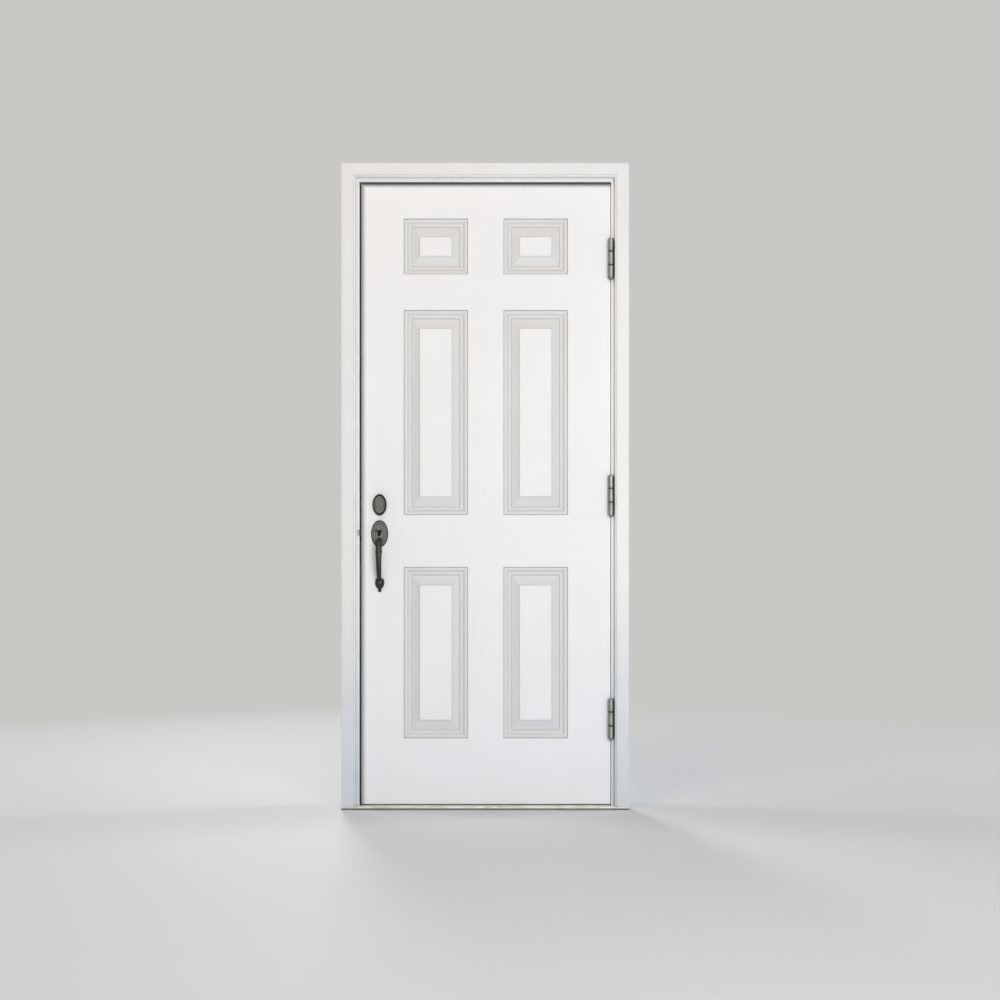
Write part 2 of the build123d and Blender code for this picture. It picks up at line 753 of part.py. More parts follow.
with BuildPart() as lock_block:
    block(LOCK_BLOCK_X, CORE_Y, LOCK_BLOCK_Z)
    cut_lock_bores()
    for middle in (LATCH_Z, DEADBOLT_Z):
        with BuildSketch(side_plane(X_LATCH_EDGE)):
            with Locations((MID_Y, middle)):
                RectangleRounded(
                    FACEPLATE_W + 2 * MORTISE_CLEAR, FACEPLATE_H + 2 * MORTISE_CLEAR, FACEPLATE_ROUND
                )
        extrude(amount=FACEPLATE_T, mode=Mode.SUBTRACT)
        for up in (-FACEPLATE_SCREWS, FACEPLATE_SCREWS):
            place = (X_LATCH_EDGE, MID_Y, middle + up)
            screw(place, (1, 0, 0), STRIKE_SCREW_L, SCREW_CLEAR, mode=Mode.SUBTRACT)
keep(lock_block, "lock_block")

with BuildPart() as top_rail:
    block(CORE_X, CORE_Y, (CORE_Z[1], LEAF_Z1))
keep(top_rail, "top_rail")

with BuildPart() as bottom_rail:
    block(CORE_X, CORE_Y, (LEAF_Z0, CORE_Z[0]))
keep(bottom_rail, "bottom_rail")

with BuildPart() as bottom_sweep:
    with BuildSketch(side_plane(LEAF_X)):
        with Locations((MID_Y, LEAF_Z0)):
            Rectangle(SWEEP_W, SWEEP_BASE, align=(Align.CENTER, Align.MAX))
        with Locations((MID_Y, LEAF_Z0)):
            with GridLocations(SWEEP_W / SWEEP_FINS, 0, SWEEP_FINS, 1):
                Rectangle(SWEEP_FIN_T, SILL_GAP - SEAL_FREE, align=(Align.CENTER, Align.MAX))
    extrude(amount=LEAF_W / 2 - SWEEP_END, both=True)
keep(bottom_sweep, "bottom_sweep")

# Hinges

KNUCKLE_L = (HINGE_H - 2 * BEARING_H) / KNUCKLES


def knuckle_spans():
    """Lower end of each knuckle above the hinge's foot; bearings part the outer pairs."""
    foot = 0.0
    for knuckle in range(KNUCKLES):
        yield knuckle, foot
        foot += KNUCKLE_L
        if knuckle in (0, KNUCKLES - 2):
            foot += BEARING_H


def hinge_plate(side, middle):
    """One plate of a hinge with its knuckles: side 1 on the jamb, -1 on the leaf."""
    plate_x = PIN_X + side * (HINGE_GAP + HINGE_PLATE_T) / 2
    plate_y = PIN_Y + BARREL_R + PLATE_CLEAR
    foot = middle - HINGE_H / 2
    with BuildPart() as plate:
        block(
            (plate_x - HINGE_PLATE_T / 2, plate_x + HINGE_PLATE_T / 2),
            (plate_y, PLATE_END_Y),
            (foot, foot + HINGE_H),
        )
        for knuckle, up in knuckle_spans():
            if (knuckle % 2 == 0) != (side == 1):
                continue
            with BuildSketch(Plane.XY.offset(foot + up + KNUCKLE_GAP / 2)):
                with Locations((PIN_X, PIN_Y)):
                    Circle(BARREL_R)
                with Locations((plate_x, PIN_Y)):
                    Rectangle(HINGE_PLATE_T, plate_y - PIN_Y, align=(Align.CENTER, Align.MIN))
            extrude(amount=KNUCKLE_L - KNUCKLE_GAP)
        rod((PIN_X, PIN_Y, foot), (0, 0, 1), PIN_R + PIN_CLEAR, HINGE_H, mode=Mode.SUBTRACT)
        for place in hinge_screw_places(side):
            if abs(place[2] - middle) < HINGE_H / 2:
                screw(place, (side, 0, 0), HINGE_PLATE_T, SCREW_CLEAR, mode=Mode.SUBTRACT)
    return plate


for name, middle in HINGE_Z.items():
    keep(hinge_plate(1, middle), f"{name}_hinge_jamb_plate")
    keep(hinge_plate(-1, middle), f"{name}_hinge_door_plate")
    with BuildPart() as pin:
        with BuildSketch(wall_plane(PIN_Y)):
            with BuildLine():
                # Domed head above, tapered tip below
                top = middle + (HINGE_H - KNUCKLE_GAP) / 2
                foot = middle - (HINGE_H - KNUCKLE_GAP) / 2
                Polyline(
                    (PIN_X, top + PIN_DOME_H),
                    (PIN_X, foot - PIN_TIP_H),
                    (PIN_X + PIN_TIP_R, foot - PIN_TIP_H),
                    (PIN_X + PIN_CAP_R, foot - PIN_TIP_SIDE),
                    (PIN_X + PIN_CAP_R, foot),
                    (PIN_X + PIN_R, foot),
                    (PIN_X + PIN_R, top),
                    (PIN_X + PIN_CAP_R, top),
                )
                TangentArc(
                    (PIN_X, top + PIN_DOME_H), (PIN_X + PIN_CAP_R, top), tangent=(1, 0)
                )
            make_face()
        revolve(axis=Axis((PIN_X, PIN_Y, 0), (0, 0, 1)))
    keep(pin, f"{name}_hinge_pin")

with BuildPart() as hinge_bearings:
    for middle in HINGE_Z.values():
        for up in (-1, 1):
            # Each ring sits against the jamb plate's outer knuckle.
            ring_z = middle + up * ((HINGE_H + KNUCKLE_GAP - BEARING_H) / 2 - KNUCKLE_L)
            with BuildSketch(Plane.XY.offset(ring_z - BEARING_H / 2)):
                with Locations((PIN_X, PIN_Y)):
                    Circle(BARREL_R - KNUCKLE_GAP)
                    Circle(PIN_R + PIN_CLEAR, mode=Mode.SUBTRACT)
            extrude(amount=BEARING_H)
keep(hinge_bearings, "hinge_bearings")

with BuildPart() as frame_hinge_screws:
    for place in hinge_screw_places(1):
        screw(place, (1, 0, 0), FRAME_SCREW_L)
keep(frame_hinge_screws, "frame_hinge_screws")

with BuildPart() as door_hinge_screws:
    for place in hinge_screw_places(-1):
        screw(place, (-1, 0, 0), LEAF_SCREW_L)
keep(door_hinge_screws, "door_hinge_screws")

# Strikes


def strike(middle, pocket):
    with BuildPart() as plate:
        with BuildSketch(side_plane(-X_OPEN)):
            with Locations((MID_Y, middle)):
                add(strike_outline())
                add(pocket, mode=Mode.SUBTRACT)
        extrude(amount=-STRIKE_T)
        for place in strike_screw_places(middle):
            screw(place, (-1, 0, 0), STRIKE_T, SCREW_CLEAR, mode=Mode.SUBTRACT)
    return plate.part


with BuildPart() as deadbolt_strike:
    add(strike(DEADBOLT_Z, DEADBOLT_POCKET))
keep(deadbolt_strike, "deadbolt_strike")

with BuildPart() as latch_strike:
    add(strike(LATCH_Z, LATCH_POCKET))
    # Lip out to the jamb's edge, bent over it so that the latch rides in
    block(
        (-X_OPEN - STRIKE_T, -X_OPEN),
        (-STRIKE_T, MID_Y - STRIKE_W / 2 + STRIKE_T),
        (LATCH_Z - STRIKE_LIP_W / 2, LATCH_Z + STRIKE_LIP_W / 2),
    )
    block(
        (-X_OPEN - REVEAL / 2, -X_OPEN),
        (-STRIKE_T, 0),
        (LATCH_Z - STRIKE_LIP_W / 2, LATCH_Z + STRIKE_LIP_W / 2),
    )
    lip_corner = latch_strike.edges().filter_by(Axis.Z).sort_by_distance((-X_OPEN, -STRIKE_T, LATCH_Z))[0]
    fillet(lip_corner, STRIKE_LIP_ROUND)
keep(latch_strike, "latch_strike")

with BuildPart() as strike_screws:
    for middle in (LATCH_Z, DEADBOLT_Z):
        for place in strike_screw_places(middle):
            screw(place, (-1, 0, 0), STRIKE_SCREW_L)
keep(strike_screws, "strike_screws")

# Locks in the leaf


def lock_case(middle, bolt_w, bolt_h, hub_r):
    """Round case in the edge bore, open for its bolt, with a turning hub at the cross bore."""
    with BuildPart() as case:
        rod(
            (X_LATCH_EDGE + FACEPLATE_T, MID_Y, middle),
            (1, 0, 0),
            CASE_R,
            BACKSET + CASE_REACH - FACEPLATE_T - CASE_CLEAR,
        )
        block(
            (X_LATCH_EDGE, X_LATCH_EDGE + BOLT_L + BOLT_CLEAR),
            (MID_Y - bolt_w / 2 - BOLT_CLEAR, MID_Y + bolt_w / 2 + BOLT_CLEAR),
            (middle - bolt_h / 2 - BOLT_CLEAR, middle + bolt_h / 2 + BOLT_CLEAR),
            mode=Mode.SUBTRACT,
        )
        rod(
            (LOCK_X, MID_Y - EDGE_BORE_R, middle),
            (0, 1, 0),
            hub_r + HUB_CLEAR,
            2 * EDGE_BORE_R,
            mode=Mode.SUBTRACT,
        )
    return case


def faceplate(middle, bolt_w, bolt_h):
    with BuildPart() as plate:
        with BuildSketch(side_plane(X_LATCH_EDGE)):
            with Locations((MID_Y, middle)):
                RectangleRounded(FACEPLATE_W, FACEPLATE_H, FACEPLATE_ROUND)
                Rectangle(bolt_w + 2 * BOLT_CLEAR, bolt_h + 2 * BOLT_CLEAR, mode=Mode.SUBTRACT)
        extrude(amount=FACEPLATE_T)
        for up in (-FACEPLATE_SCREWS, FACEPLATE_SCREWS):
            place = (X_LATCH_EDGE, MID_Y, middle + up)
            screw(place, (1, 0, 0), FACEPLATE_T, SCREW_CLEAR, mode=Mode.SUBTRACT)
    return plate


keep(lock_case(DEADBOLT_Z, DEADBOLT_W, DEADBOLT_H, TAILPIECE_R), "deadbolt_case")
keep(lock_case(LATCH_Z, LATCH_W, LATCH_H, HUB_R), "latch_case")
keep(faceplate(DEADBOLT_Z, DEADBOLT_W, DEADBOLT_H), "deadbolt_faceplate")
keep(faceplate(LATCH_Z, LATCH_W, LATCH_H), "latch_faceplate")

with BuildPart() as faceplate_screws:
    for middle in (LATCH_Z, DEADBOLT_Z):
        for up in (-FACEPLATE_SCREWS, FACEPLATE_SCREWS):
            screw((X_LATCH_EDGE, MID_Y, middle + up), (1, 0, 0), STRIKE_SCREW_L)
keep(faceplate_screws, "faceplate_screws")

with BuildPart() as deadbolt:
    block(
        (X_LATCH_EDGE, X_LATCH_EDGE + BOLT_L),
        (MID_Y - DEADBOLT_W / 2, MID_Y + DEADBOLT_W / 2),
        (DEADBOLT_Z - DEADBOLT_H / 2, DEADBOLT_Z + DEADBOLT_H / 2),
    )
    fillet(deadbolt.edges().filter_by(Axis.X), EASED)
keep(deadbolt, "deadbolt")

with BuildPart() as latch_bolt:
    # The slope faces inward, so that the closing door pushes the latch back.
    with BuildSketch(Plane.XY.offset(LATCH_Z - LATCH_H / 2)):
        with BuildLine():
            Polyline(
                (X_LATCH_EDGE, MID_Y - LATCH_W / 2),
                (X_LATCH_EDGE, MID_Y - LATCH_W / 2 + LATCH_NOSE),
                (X_LATCH_EDGE + LATCH_THROW, MID_Y + LATCH_W / 2),
                (X_LATCH_EDGE + BOLT_L, MID_Y + LATCH_W / 2),
                (X_LATCH_EDGE + BOLT_L, MID_Y - LATCH_W / 2),
                close=True,
            )
        make_face()
    extrude(amount=LATCH_H)
keep(latch_bolt, "latch_bolt")

# Deadbolt trim


def oval_rose(face_y, inward, out):
    """Oval cover with a sloped rim and a shallow dished face."""
    a = DEADBOLT_ROSE_W / 2
    b = DEADBOLT_ROSE_H / 2
    rings = []
    for inset, up in ((0, 0), (0, out * ROSE_EDGE_SHARE), (ROSE_SLOPE, out)):
        with BuildSketch(wall_plane(face_y - inward * up)) as ring:
            with Locations((LOCK_X, DEADBOLT_Z)):
                Ellipse(a - inset, b - inset)
        rings.append(ring.sketch.face())
    with BuildPart() as rose:
        loft(sections=rings[:2], ruled=True)
        loft(sections=rings[1:], ruled=True)
        with BuildSketch(wall_plane(face_y - inward * out)):
            with Locations((LOCK_X, DEADBOLT_Z)):
                Ellipse(a - ROSE_WALL, b - ROSE_WALL)
        extrude(amount=-inward * ROSE_DISH, mode=Mode.SUBTRACT)
    return rose.part


with BuildPart() as deadbolt_rose:
    add(oval_rose(FACE_Y, 1, DEADBOLT_ROSE_OUT))
    cylinder_face = FACE_Y - DEADBOLT_ROSE_OUT + ROSE_DISH - CYLINDER_OUT
    rod((LOCK_X, FACE_Y, DEADBOLT_Z), (0, -1, 0), CYLINDER_R, FACE_Y - cylinder_face)
    rod((LOCK_X, FACE_Y, DEADBOLT_Z), (0, 1, 0), CYLINDER_R, POST_L)
    for up in (-POST_OFFSET, POST_OFFSET):
        rod((LOCK_X, FACE_Y, DEADBOLT_Z + up), (0, 1, 0), POST_R, POST_L)
        rod(
            (LOCK_X, FACE_Y, DEADBOLT_Z + up),
            (0, 1, 0),
            THROUGH_SCREW_R + SCREW_CLEAR,
            POST_L,
            mode=Mode.SUBTRACT,
        )
    rod(
        (LOCK_X, cylinder_face, DEADBOLT_Z),
        (0, 1, 0),
        PLUG_R + PLUG_CLEAR,
        FACE_Y + POST_L - cylinder_face,
        mode=Mode.SUBTRACT,
    )
    fillet(
        deadbolt_rose.edges().filter_by(GeomType.CIRCLE).sort_by(Axis.Y).filter_by(
            lambda edge: abs(edge.radius - CYLINDER_R) < 0.01
        )[0],
        CYLINDER_OUT * 0.7,
    )
keep(deadbolt_rose, "deadbolt_rose")

with BuildPart() as key_plug:
    rod((LOCK_X, cylinder_face, DEADBOLT_Z), (0, 1, 0), PLUG_R, FACE_Y + POST_L - cylinder_face)
    block(
        (LOCK_X - KEYWAY_W / 2, LOCK_X + KEYWAY_W / 2),
        (cylinder_face, cylinder_face + KEYWAY_D),
        (DEADBOLT_Z - KEYWAY_H / 2, DEADBOLT_Z + KEYWAY_H / 2),
        mode=Mode.SUBTRACT,
    )
keep(key_plug, "key_plug")

with BuildPart() as deadbolt_inside_plate:
    add(oval_rose(BACK_Y, -1, DEADBOLT_ROSE_OUT / 2))
    rod(
        (LOCK_X, BACK_Y, DEADBOLT_Z),
        (0, 1, 0),
        TAILPIECE_R + HUB_CLEAR,
        DEADBOLT_ROSE_OUT,
        mode=Mode.SUBTRACT,
    )
    for up in (-POST_OFFSET, POST_OFFSET):
        screw(
            (LOCK_X, BACK_Y + DEADBOLT_ROSE_OUT / 2 - ROSE_DISH, DEADBOLT_Z + up),
            (0, -1, 0),
            DEADBOLT_ROSE_OUT / 2,
            SCREW_CLEAR,
            mode=Mode.SUBTRACT,
        )
keep(deadbolt_inside_plate, "deadbolt_inside_plate")

with BuildPart() as thumbturn:
    shaft_start = FACE_Y + POST_L + TURN_CLEAR
    turn_y = BACK_Y + DEADBOLT_ROSE_OUT / 2 + TURN_CLEAR
    rod((LOCK_X, shaft_start, DEADBOLT_Z), (0, 1, 0), TAILPIECE_R, turn_y - shaft_start + TURN_ROOT)
    with BuildSketch(wall_plane(turn_y)):
        with Locations((LOCK_X, DEADBOLT_Z)):
            SlotOverall(TURN_H, TURN_W, rotation=90)
    extrude(amount=-TURN_OUT)
    turn_end = thumbturn.faces().sort_by(Axis.Y)[-1]
    chamfer(turn_end.edges(), EASED)
keep(thumbturn, "thumbturn")

# Handleset trim


def thumb_pivot(clear, mode=Mode.ADD):
    """Cross pin on which the thumbpiece rocks, or the seat for it in the escutcheon."""
    reach = THUMB_SLOT_W / 2 + THUMB_PIVOT_SEAT + clear
    rod(
        (LOCK_X - reach, FACE_Y - ESCUTCHEON_OUT / 2, LATCH_Z + THUMB_PIVOT_UP),
        (1, 0, 0),
        THUMB_PIVOT_R + clear,
        2 * reach,
        mode=mode,
    )


with BuildPart() as escutcheon:
    for inset, out in ESCUTCHEON_STEPS:
        with BuildSketch(wall_plane(FACE_Y)):
            with Locations((LOCK_X, ESCUTCHEON_Z)):
                Ellipse(ESCUTCHEON_W / 2 - inset, ESCUTCHEON_H / 2 - inset)
        extrude(amount=out)
    with BuildSketch(wall_plane(FACE_Y - ESCUTCHEON_OUT)):
        with Locations((LOCK_X, ESCUTCHEON_Z)):
            Ellipse(ESCUTCHEON_W / 2 - ESCUTCHEON_DISH, ESCUTCHEON_H / 2 - ESCUTCHEON_DISH)
    extrude(amount=-ESCUTCHEON_DISH_D, mode=Mode.SUBTRACT)
    for up in (-POST_OFFSET, POST_OFFSET):
        rod((LOCK_X, FACE_Y, LATCH_Z + up), (0, 1, 0), POST_R, POST_L)
        rod(
            (LOCK_X, FACE_Y, LATCH_Z + up),
            (0, 1, 0),
            THROUGH_SCREW_R + SCREW_CLEAR,
            POST_L,
            mode=Mode.SUBTRACT,
        )
    block(
        (LOCK_X - THUMB_SLOT_W / 2, LOCK_X + THUMB_SLOT_W / 2),
        (FACE_Y - ESCUTCHEON_OUT, FACE_Y),
        (LATCH_Z - THUMB_SLOT_H / 2, LATCH_Z + THUMB_SLOT_H / 2),
        mode=Mode.SUBTRACT,
    )
    thumb_pivot(PIN_CLEAR, mode=Mode.SUBTRACT)
keep(escutcheon, "escutcheon")

THUMB_Y = FACE_Y - THUMB_REACH

with BuildPart() as thumb_pad:
    with BuildSketch(wall_plane(THUMB_Y + THUMB_L)):
        with BuildLine():
            half_w = THUMB_W / 2
            low = LATCH_Z + THUMB_BAR_H / 2
            under = ThreePointArc(
                (LOCK_X - half_w, low + THUMB_DISH), (LOCK_X, low), (LOCK_X + half_w, low + THUMB_DISH)
            )
            over = ThreePointArc(
                (LOCK_X - half_w, low + THUMB_DISH + THUMB_T),
                (LOCK_X, low + THUMB_T),
                (LOCK_X + half_w, low + THUMB_DISH + THUMB_T),
            )
            Line(under @ 0, over @ 0)
            Line(under @ 1, over @ 1)
        make_face()
    extrude(amount=THUMB_L)
    with BuildSketch(Plane.XY.offset(LATCH_Z)):
        with Locations((LOCK_X, THUMB_Y + THUMB_L / 2)):
            Ellipse(half_w, THUMB_L / 2)
        with Locations((LOCK_X, THUMB_Y + THUMB_L)):
            Rectangle(THUMB_ROOT_W, THUMB_L / 2, align=(Align.CENTER, Align.MAX))
    extrude(amount=THUMB_W, mode=Mode.INTERSECT)

with BuildPart() as thumbpiece:
    add(thumb_pad.part)
    # Bar through the slot, with the trigger rib under the pad
    with BuildSketch(side_plane(LOCK_X)):
        with BuildLine():
            bar = THUMB_BAR_H / 2
            Polyline(
                *[(THUMB_Y + along, LATCH_Z + up) for along, up in THUMB_RIB],
                (FACE_Y - ESCUTCHEON_OUT - THUMB_HEEL_OUT, LATCH_Z - bar),
                (FACE_Y + THUMB_TAIL, LATCH_Z - bar),
                (FACE_Y + THUMB_TAIL, LATCH_Z + bar),
                (THUMB_Y + THUMB_L, LATCH_Z + bar),
                close=True,
            )
        make_face()
    extrude(amount=THUMB_BAR_W / 2, both=True)
    thumb_pivot(0)
keep(thumbpiece, "thumbpiece")

# The grip's middle line, drawn at x = 0: straight out at the top, slanting in at the foot
with BuildLine(side_plane(0)) as grip_line:
    grip_path = Spline(
        *[(FACE_Y - out, LATCH_Z - down) for out, down, width, thick in GRIP_PATH],
        tangents=((-1, 0), (0.7, -0.7)),
    )


def grip_section(at):
    """Plane across the grip at a share of the way along its middle line."""
    middle = grip_path @ at + Vector(LOCK_X, 0, 0)
    return Plane(origin=middle, x_dir=(1, 0, 0), z_dir=grip_path % at)


with BuildPart() as grip_handle:
    for out, down, width, thick in GRIP_PATH:
        at = grip_path.param_at_point((0, FACE_Y - out, LATCH_Z - down))
        with BuildSketch(grip_section(at)):
            Ellipse(width / 2, thick / 2)
    loft()
    add(escutcheon.part, mode=Mode.SUBTRACT)
    # Collar round the grip
    collar_out, collar_down, collar_w, collar_t = GRIP_PATH[COLLAR_SECTION]
    with BuildSketch(grip_section(COLLAR_AT)):
        Ellipse(collar_w / 2 + COLLAR_PROUD, collar_t / 2 + COLLAR_PROUD)
    extrude(amount=COLLAR_H / 2, both=True)
    # Acorn foot with its ring and button finial, half round against the leaf's face
    with BuildSketch(wall_plane(FACE_Y)):
        with BuildLine():
            acorn = [(LOCK_X + radius, LATCH_Z - drop) for radius, drop in ACORN]
            cup = Spline(*acorn)
            ring_z = LATCH_Z - ACORN[-1][1]
            neck_z = ring_z - FINIAL_RING_H
            button_z = neck_z - FINIAL_NECK_H
            tip_z = LATCH_Z - FINIAL_DROP
            Line((LOCK_X, acorn[0][1]), acorn[0])
            rest = Polyline(
                acorn[-1],
                (LOCK_X + FINIAL_RING_R, ring_z),
                (LOCK_X + FINIAL_RING_R, neck_z),
                (LOCK_X + FINIAL_NECK_R, neck_z),
                (LOCK_X + FINIAL_NECK_R, button_z),
            )
            ThreePointArc(
                rest @ 1,
                (LOCK_X + FINIAL_R, (button_z + tip_z) / 2),
                (LOCK_X + FINIAL_TIP_R, tip_z),
            )
            Polyline((LOCK_X + FINIAL_TIP_R, tip_z), (LOCK_X, tip_z), (LOCK_X, acorn[0][1]))
        make_face()
    revolve(axis=Axis((LOCK_X, FACE_Y, 0), (0, 0, 1)))
    split(bisect_by=wall_plane(FACE_Y), keep=Keep.TOP)
    rod(
        (LOCK_X, FACE_Y, LATCH_Z - FOOT_BOLT_DROP),
        (0, -1, 0),
        FOOT_BOLT_R + SCREW_CLEAR,
        FOOT_BOLT_IN,
        mode=Mode.SUBTRACT,
    )
keep(grip_handle, "grip_handle")

with BuildPart() as grip_foot_bolt:
    bolt_z = LATCH_Z - FOOT_BOLT_DROP
    rod((LOCK_X, BACK_Y, bolt_z), (0, 1, 0), FOOT_BOLT_HEAD_R, FOOT_BOLT_HEAD_H)
    chamfer(grip_foot_bolt.edges().sort_by(Axis.Y)[-1], FOOT_BOLT_HEAD_H / 3)
    rod((LOCK_X, BACK_Y, bolt_z), (0, -1, 0), FOOT_BOLT_R, LEAF_T + FOOT_BOLT_IN - FOOT_BOLT_SPARE)
keep(grip_foot_bolt, "grip_foot_bolt")

with BuildPart() as latch_inside_rose:
    with BuildSketch(wall_plane(BACK_Y)):
        with Locations((LOCK_X, LATCH_Z)):
            Circle(ROSE_IN_R)
    extrude(amount=-ROSE_IN_T)
    chamfer(latch_inside_rose.faces().sort_by(Axis.Y)[-1].edges(), ROSE_IN_T / 2)
    rod(
        (LOCK_X, BACK_Y, LATCH_Z),
        (0, 1, 0),
        KNOB_NECK_R + HUB_CLEAR,
        ROSE_IN_T,
        mode=Mode.SUBTRACT,
    )
    for up in (-POST_OFFSET, POST_OFFSET):
        screw(
            (LOCK_X, BACK_Y + ROSE_IN_T, LATCH_Z + up),
            (0, -1, 0),
            ROSE_IN_T,
            SCREW_CLEAR,
            mode=Mode.SUBTRACT,
        )
keep(latch_inside_rose, "latch_inside_rose")

with BuildPart() as inside_knob:
    spindle_start = FACE_Y + THUMB_TAIL + SPINDLE_CLEAR
    rod((LOCK_X, spindle_start, LATCH_Z), (0, 1, 0), HUB_R, BACK_Y + KNOB_NECK_L - spindle_start)
    with BuildSketch(side_plane(LOCK_X)):
        with BuildLine():
            neck = Polyline(
                (BACK_Y + KNOB_OUT, LATCH_Z + KNOB_FACE_R),
                (BACK_Y + KNOB_OUT, LATCH_Z),
                (BACK_Y + KNOB_CLEAR, LATCH_Z),
                (BACK_Y + KNOB_CLEAR, LATCH_Z + KNOB_NECK_R),
                (BACK_Y + KNOB_NECK_L, LATCH_Z + KNOB_NECK_R),
            )
            widest = (BACK_Y + KNOB_WIDEST, LATCH_Z + KNOB_R)
            TangentArc(widest, neck @ 1, tangent=(-1, 0))
            TangentArc(widest, neck @ 0, tangent=(1, 0))
        make_face()
    revolve(axis=Axis((LOCK_X, 0, LATCH_Z), (0, 1, 0)))
keep(inside_knob, "inside_knob")

with BuildPart() as trim_screws:
    for up in (-POST_OFFSET, POST_OFFSET):
        for middle, head_y in (
            (DEADBOLT_Z, BACK_Y + DEADBOLT_ROSE_OUT / 2 - ROSE_DISH),
            (LATCH_Z, BACK_Y + ROSE_IN_T),
        ):
            reach = head_y - FACE_Y - FOOT_BOLT_SPARE
            screw((LOCK_X, head_y, middle + up), (0, -1, 0), reach, shank=THROUGH_SCREW_R)
keep(trim_screws, "trim_screws")
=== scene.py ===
import math

import bmesh
import bpy
from mathutils import Matrix, Vector


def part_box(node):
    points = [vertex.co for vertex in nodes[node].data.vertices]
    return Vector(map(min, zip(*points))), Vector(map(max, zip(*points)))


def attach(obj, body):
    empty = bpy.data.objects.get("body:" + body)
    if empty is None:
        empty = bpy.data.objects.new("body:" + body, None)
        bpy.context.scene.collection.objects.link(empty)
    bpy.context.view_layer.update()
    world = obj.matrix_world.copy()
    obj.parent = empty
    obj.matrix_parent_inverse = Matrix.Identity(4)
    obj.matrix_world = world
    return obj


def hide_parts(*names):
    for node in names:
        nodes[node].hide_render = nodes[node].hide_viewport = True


# Front door with six raised panels, hung in its frame.
# Metres, +Z up, the outside faces -Y. Patterns are sized in millimetres.

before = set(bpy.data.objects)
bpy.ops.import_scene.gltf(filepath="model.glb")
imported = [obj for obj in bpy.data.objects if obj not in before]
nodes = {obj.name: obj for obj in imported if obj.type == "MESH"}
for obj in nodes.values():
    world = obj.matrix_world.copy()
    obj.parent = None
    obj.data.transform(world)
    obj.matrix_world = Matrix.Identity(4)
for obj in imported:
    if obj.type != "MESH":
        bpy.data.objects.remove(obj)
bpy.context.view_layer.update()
print("frame loaded,", len(nodes), "nodes")


def srgb(code):
    parts = [int(code[i:i + 2], 16) / 255 for i in (1, 3, 5)]
    linear = [p / 12.92 if p <= 0.04045 else ((p + 0.055) / 1.055) ** 2.4 for p in parts]
    return (*linear, 1.0)


def addNode(tree, kind, inputs=None, **settings):
    # an input given as a socket is linked, any other is set as a value
    node = tree.nodes.new(kind)
    for name, value in settings.items():
        setattr(node, name, value)
    for name, value in (inputs or {}).items():
        if isinstance(value, bpy.types.NodeSocket):
            tree.links.new(value, node.inputs[name])
        else:
            node.inputs[name].default_value = value
    return node


def startMaterial(name):
    material = bpy.data.materials.new(name)
    material.use_nodes = True
    material.node_tree.nodes.clear()
    return material, material.node_tree


def closeMaterial(tree, inputs):
    shader = addNode(tree, "ShaderNodeBsdfPrincipled", inputs).outputs["BSDF"]
    addNode(tree, "ShaderNodeOutputMaterial", {"Surface": shader})


def span(low, high, start=0.0, end=1.0):
    # values from low to high are read as start to end
    return {"From Min": low, "From Max": high, "To Min": start, "To Max": end}


def alongAxis(axis, run):
    return tuple(run if name == axis else 1 for name in "XYZ")


def millimetres(tree, run=(1, 1, 1)):
    # object space in mm, each axis divided by how far the pattern runs along it
    place = addNode(tree, "ShaderNodeTexCoord").outputs["Object"]
    scale = tuple(1000 / length for length in run)
    return addNode(tree, "ShaderNodeMapping", {"Vector": place, "Scale": scale}).outputs["Vector"]


def blotches(tree, size, run=(1, 1, 1), detail=3.0, rough=0.5):
    # cloudy pattern, size is one blotch in mm
    return addNode(tree, "ShaderNodeTexNoise", {
        "Vector": millimetres(tree, run), "Scale": 1 / size, "Detail": detail, "Roughness": rough,
    }).outputs["Fac"]


def placeFactor(tree, axis, start, end, most=1.0):
    # 0 up to start and most from end on, both places on the axis in metres
    place = addNode(tree, "ShaderNodeTexCoord").outputs["Object"]
    value = addNode(tree, "ShaderNodeSeparateXYZ", {"Vector": place}).outputs[axis]
    limits = span(start, end, 0.0, most)
    return addNode(tree, "ShaderNodeMapRange", {"Value": value, **limits}).outputs["Result"]


def cornerFactor(tree, reach, limits):
    # limits read an openness that is 1 in the open and falls in corners nearer than reach
    openness = addNode(tree, "ShaderNodeAmbientOcclusion", {"Distance": reach}, samples=6).outputs["AO"]
    return addNode(tree, "ShaderNodeMapRange", {"Value": openness, **limits}).outputs["Result"]


def relief(tree, height, make, edge=None):
    # the pattern pressed into the surface, its edges eased by a radius in metres
    inputs = {"Height": height, "Strength": make["reliefStrength"], "Distance": make["reliefDepth"]}
    if edge:
        inputs["Normal"] = addNode(tree, "ShaderNodeBevel", {"Radius": edge}, samples=4).outputs["Normal"]
    return addNode(tree, "ShaderNodeBump", inputs).outputs["Normal"]


leafFinish = {
    # the inside's paint is a shade darker than the outside's: painted shade against the brighter light on that side
    "outsidePaint": "#f2f2f0", "insidePaintShaded": "#eaeae7",
    "dullPatch": 45, "dullness": span(0.3, 0.7, 0.46, 0.56),
    "peel": 1.6, "reliefStrength": 0.12, "reliefDepth": 0.00004, "edge": 0.0012,
    # painted shade: the pressed relief darker by its depth, and its steps darker by their slope
    "grooveShadeTone": "#e1e1de", "grooveFrom": 0.0014, "grooveTo": 0.0034,
    "slopeShadeTone": "#aaaaa6", "steps": span(0.6, 0.86, 1.0, 0.0),
    # painted shade in corners, and dust in patches on the open faces
    "shadeAndDust": "#b9b8b2", "cornerReach": 0.02, "cornerShade": span(0.35, 0.95, 0.35, 0.0),
    "dustPatch": 180, "patches": span(0.3, 0.8, 0.0, 0.06),
    # painted shade: darker and cooler towards the floor
    "lowShadeTone": "#fafcff", "lowFrom": 1.3, "lowTo": 0.1,
    # painted shadow that the casing casts along the latch side and the top, outside only
    "rebateShadowTone": "#3c3b38", "rebateDepth": 0.9, "rebateFade": 1.4,
    "sideReach": 0.019, "topReach": 0.0165, "topFull": 1.25,
}


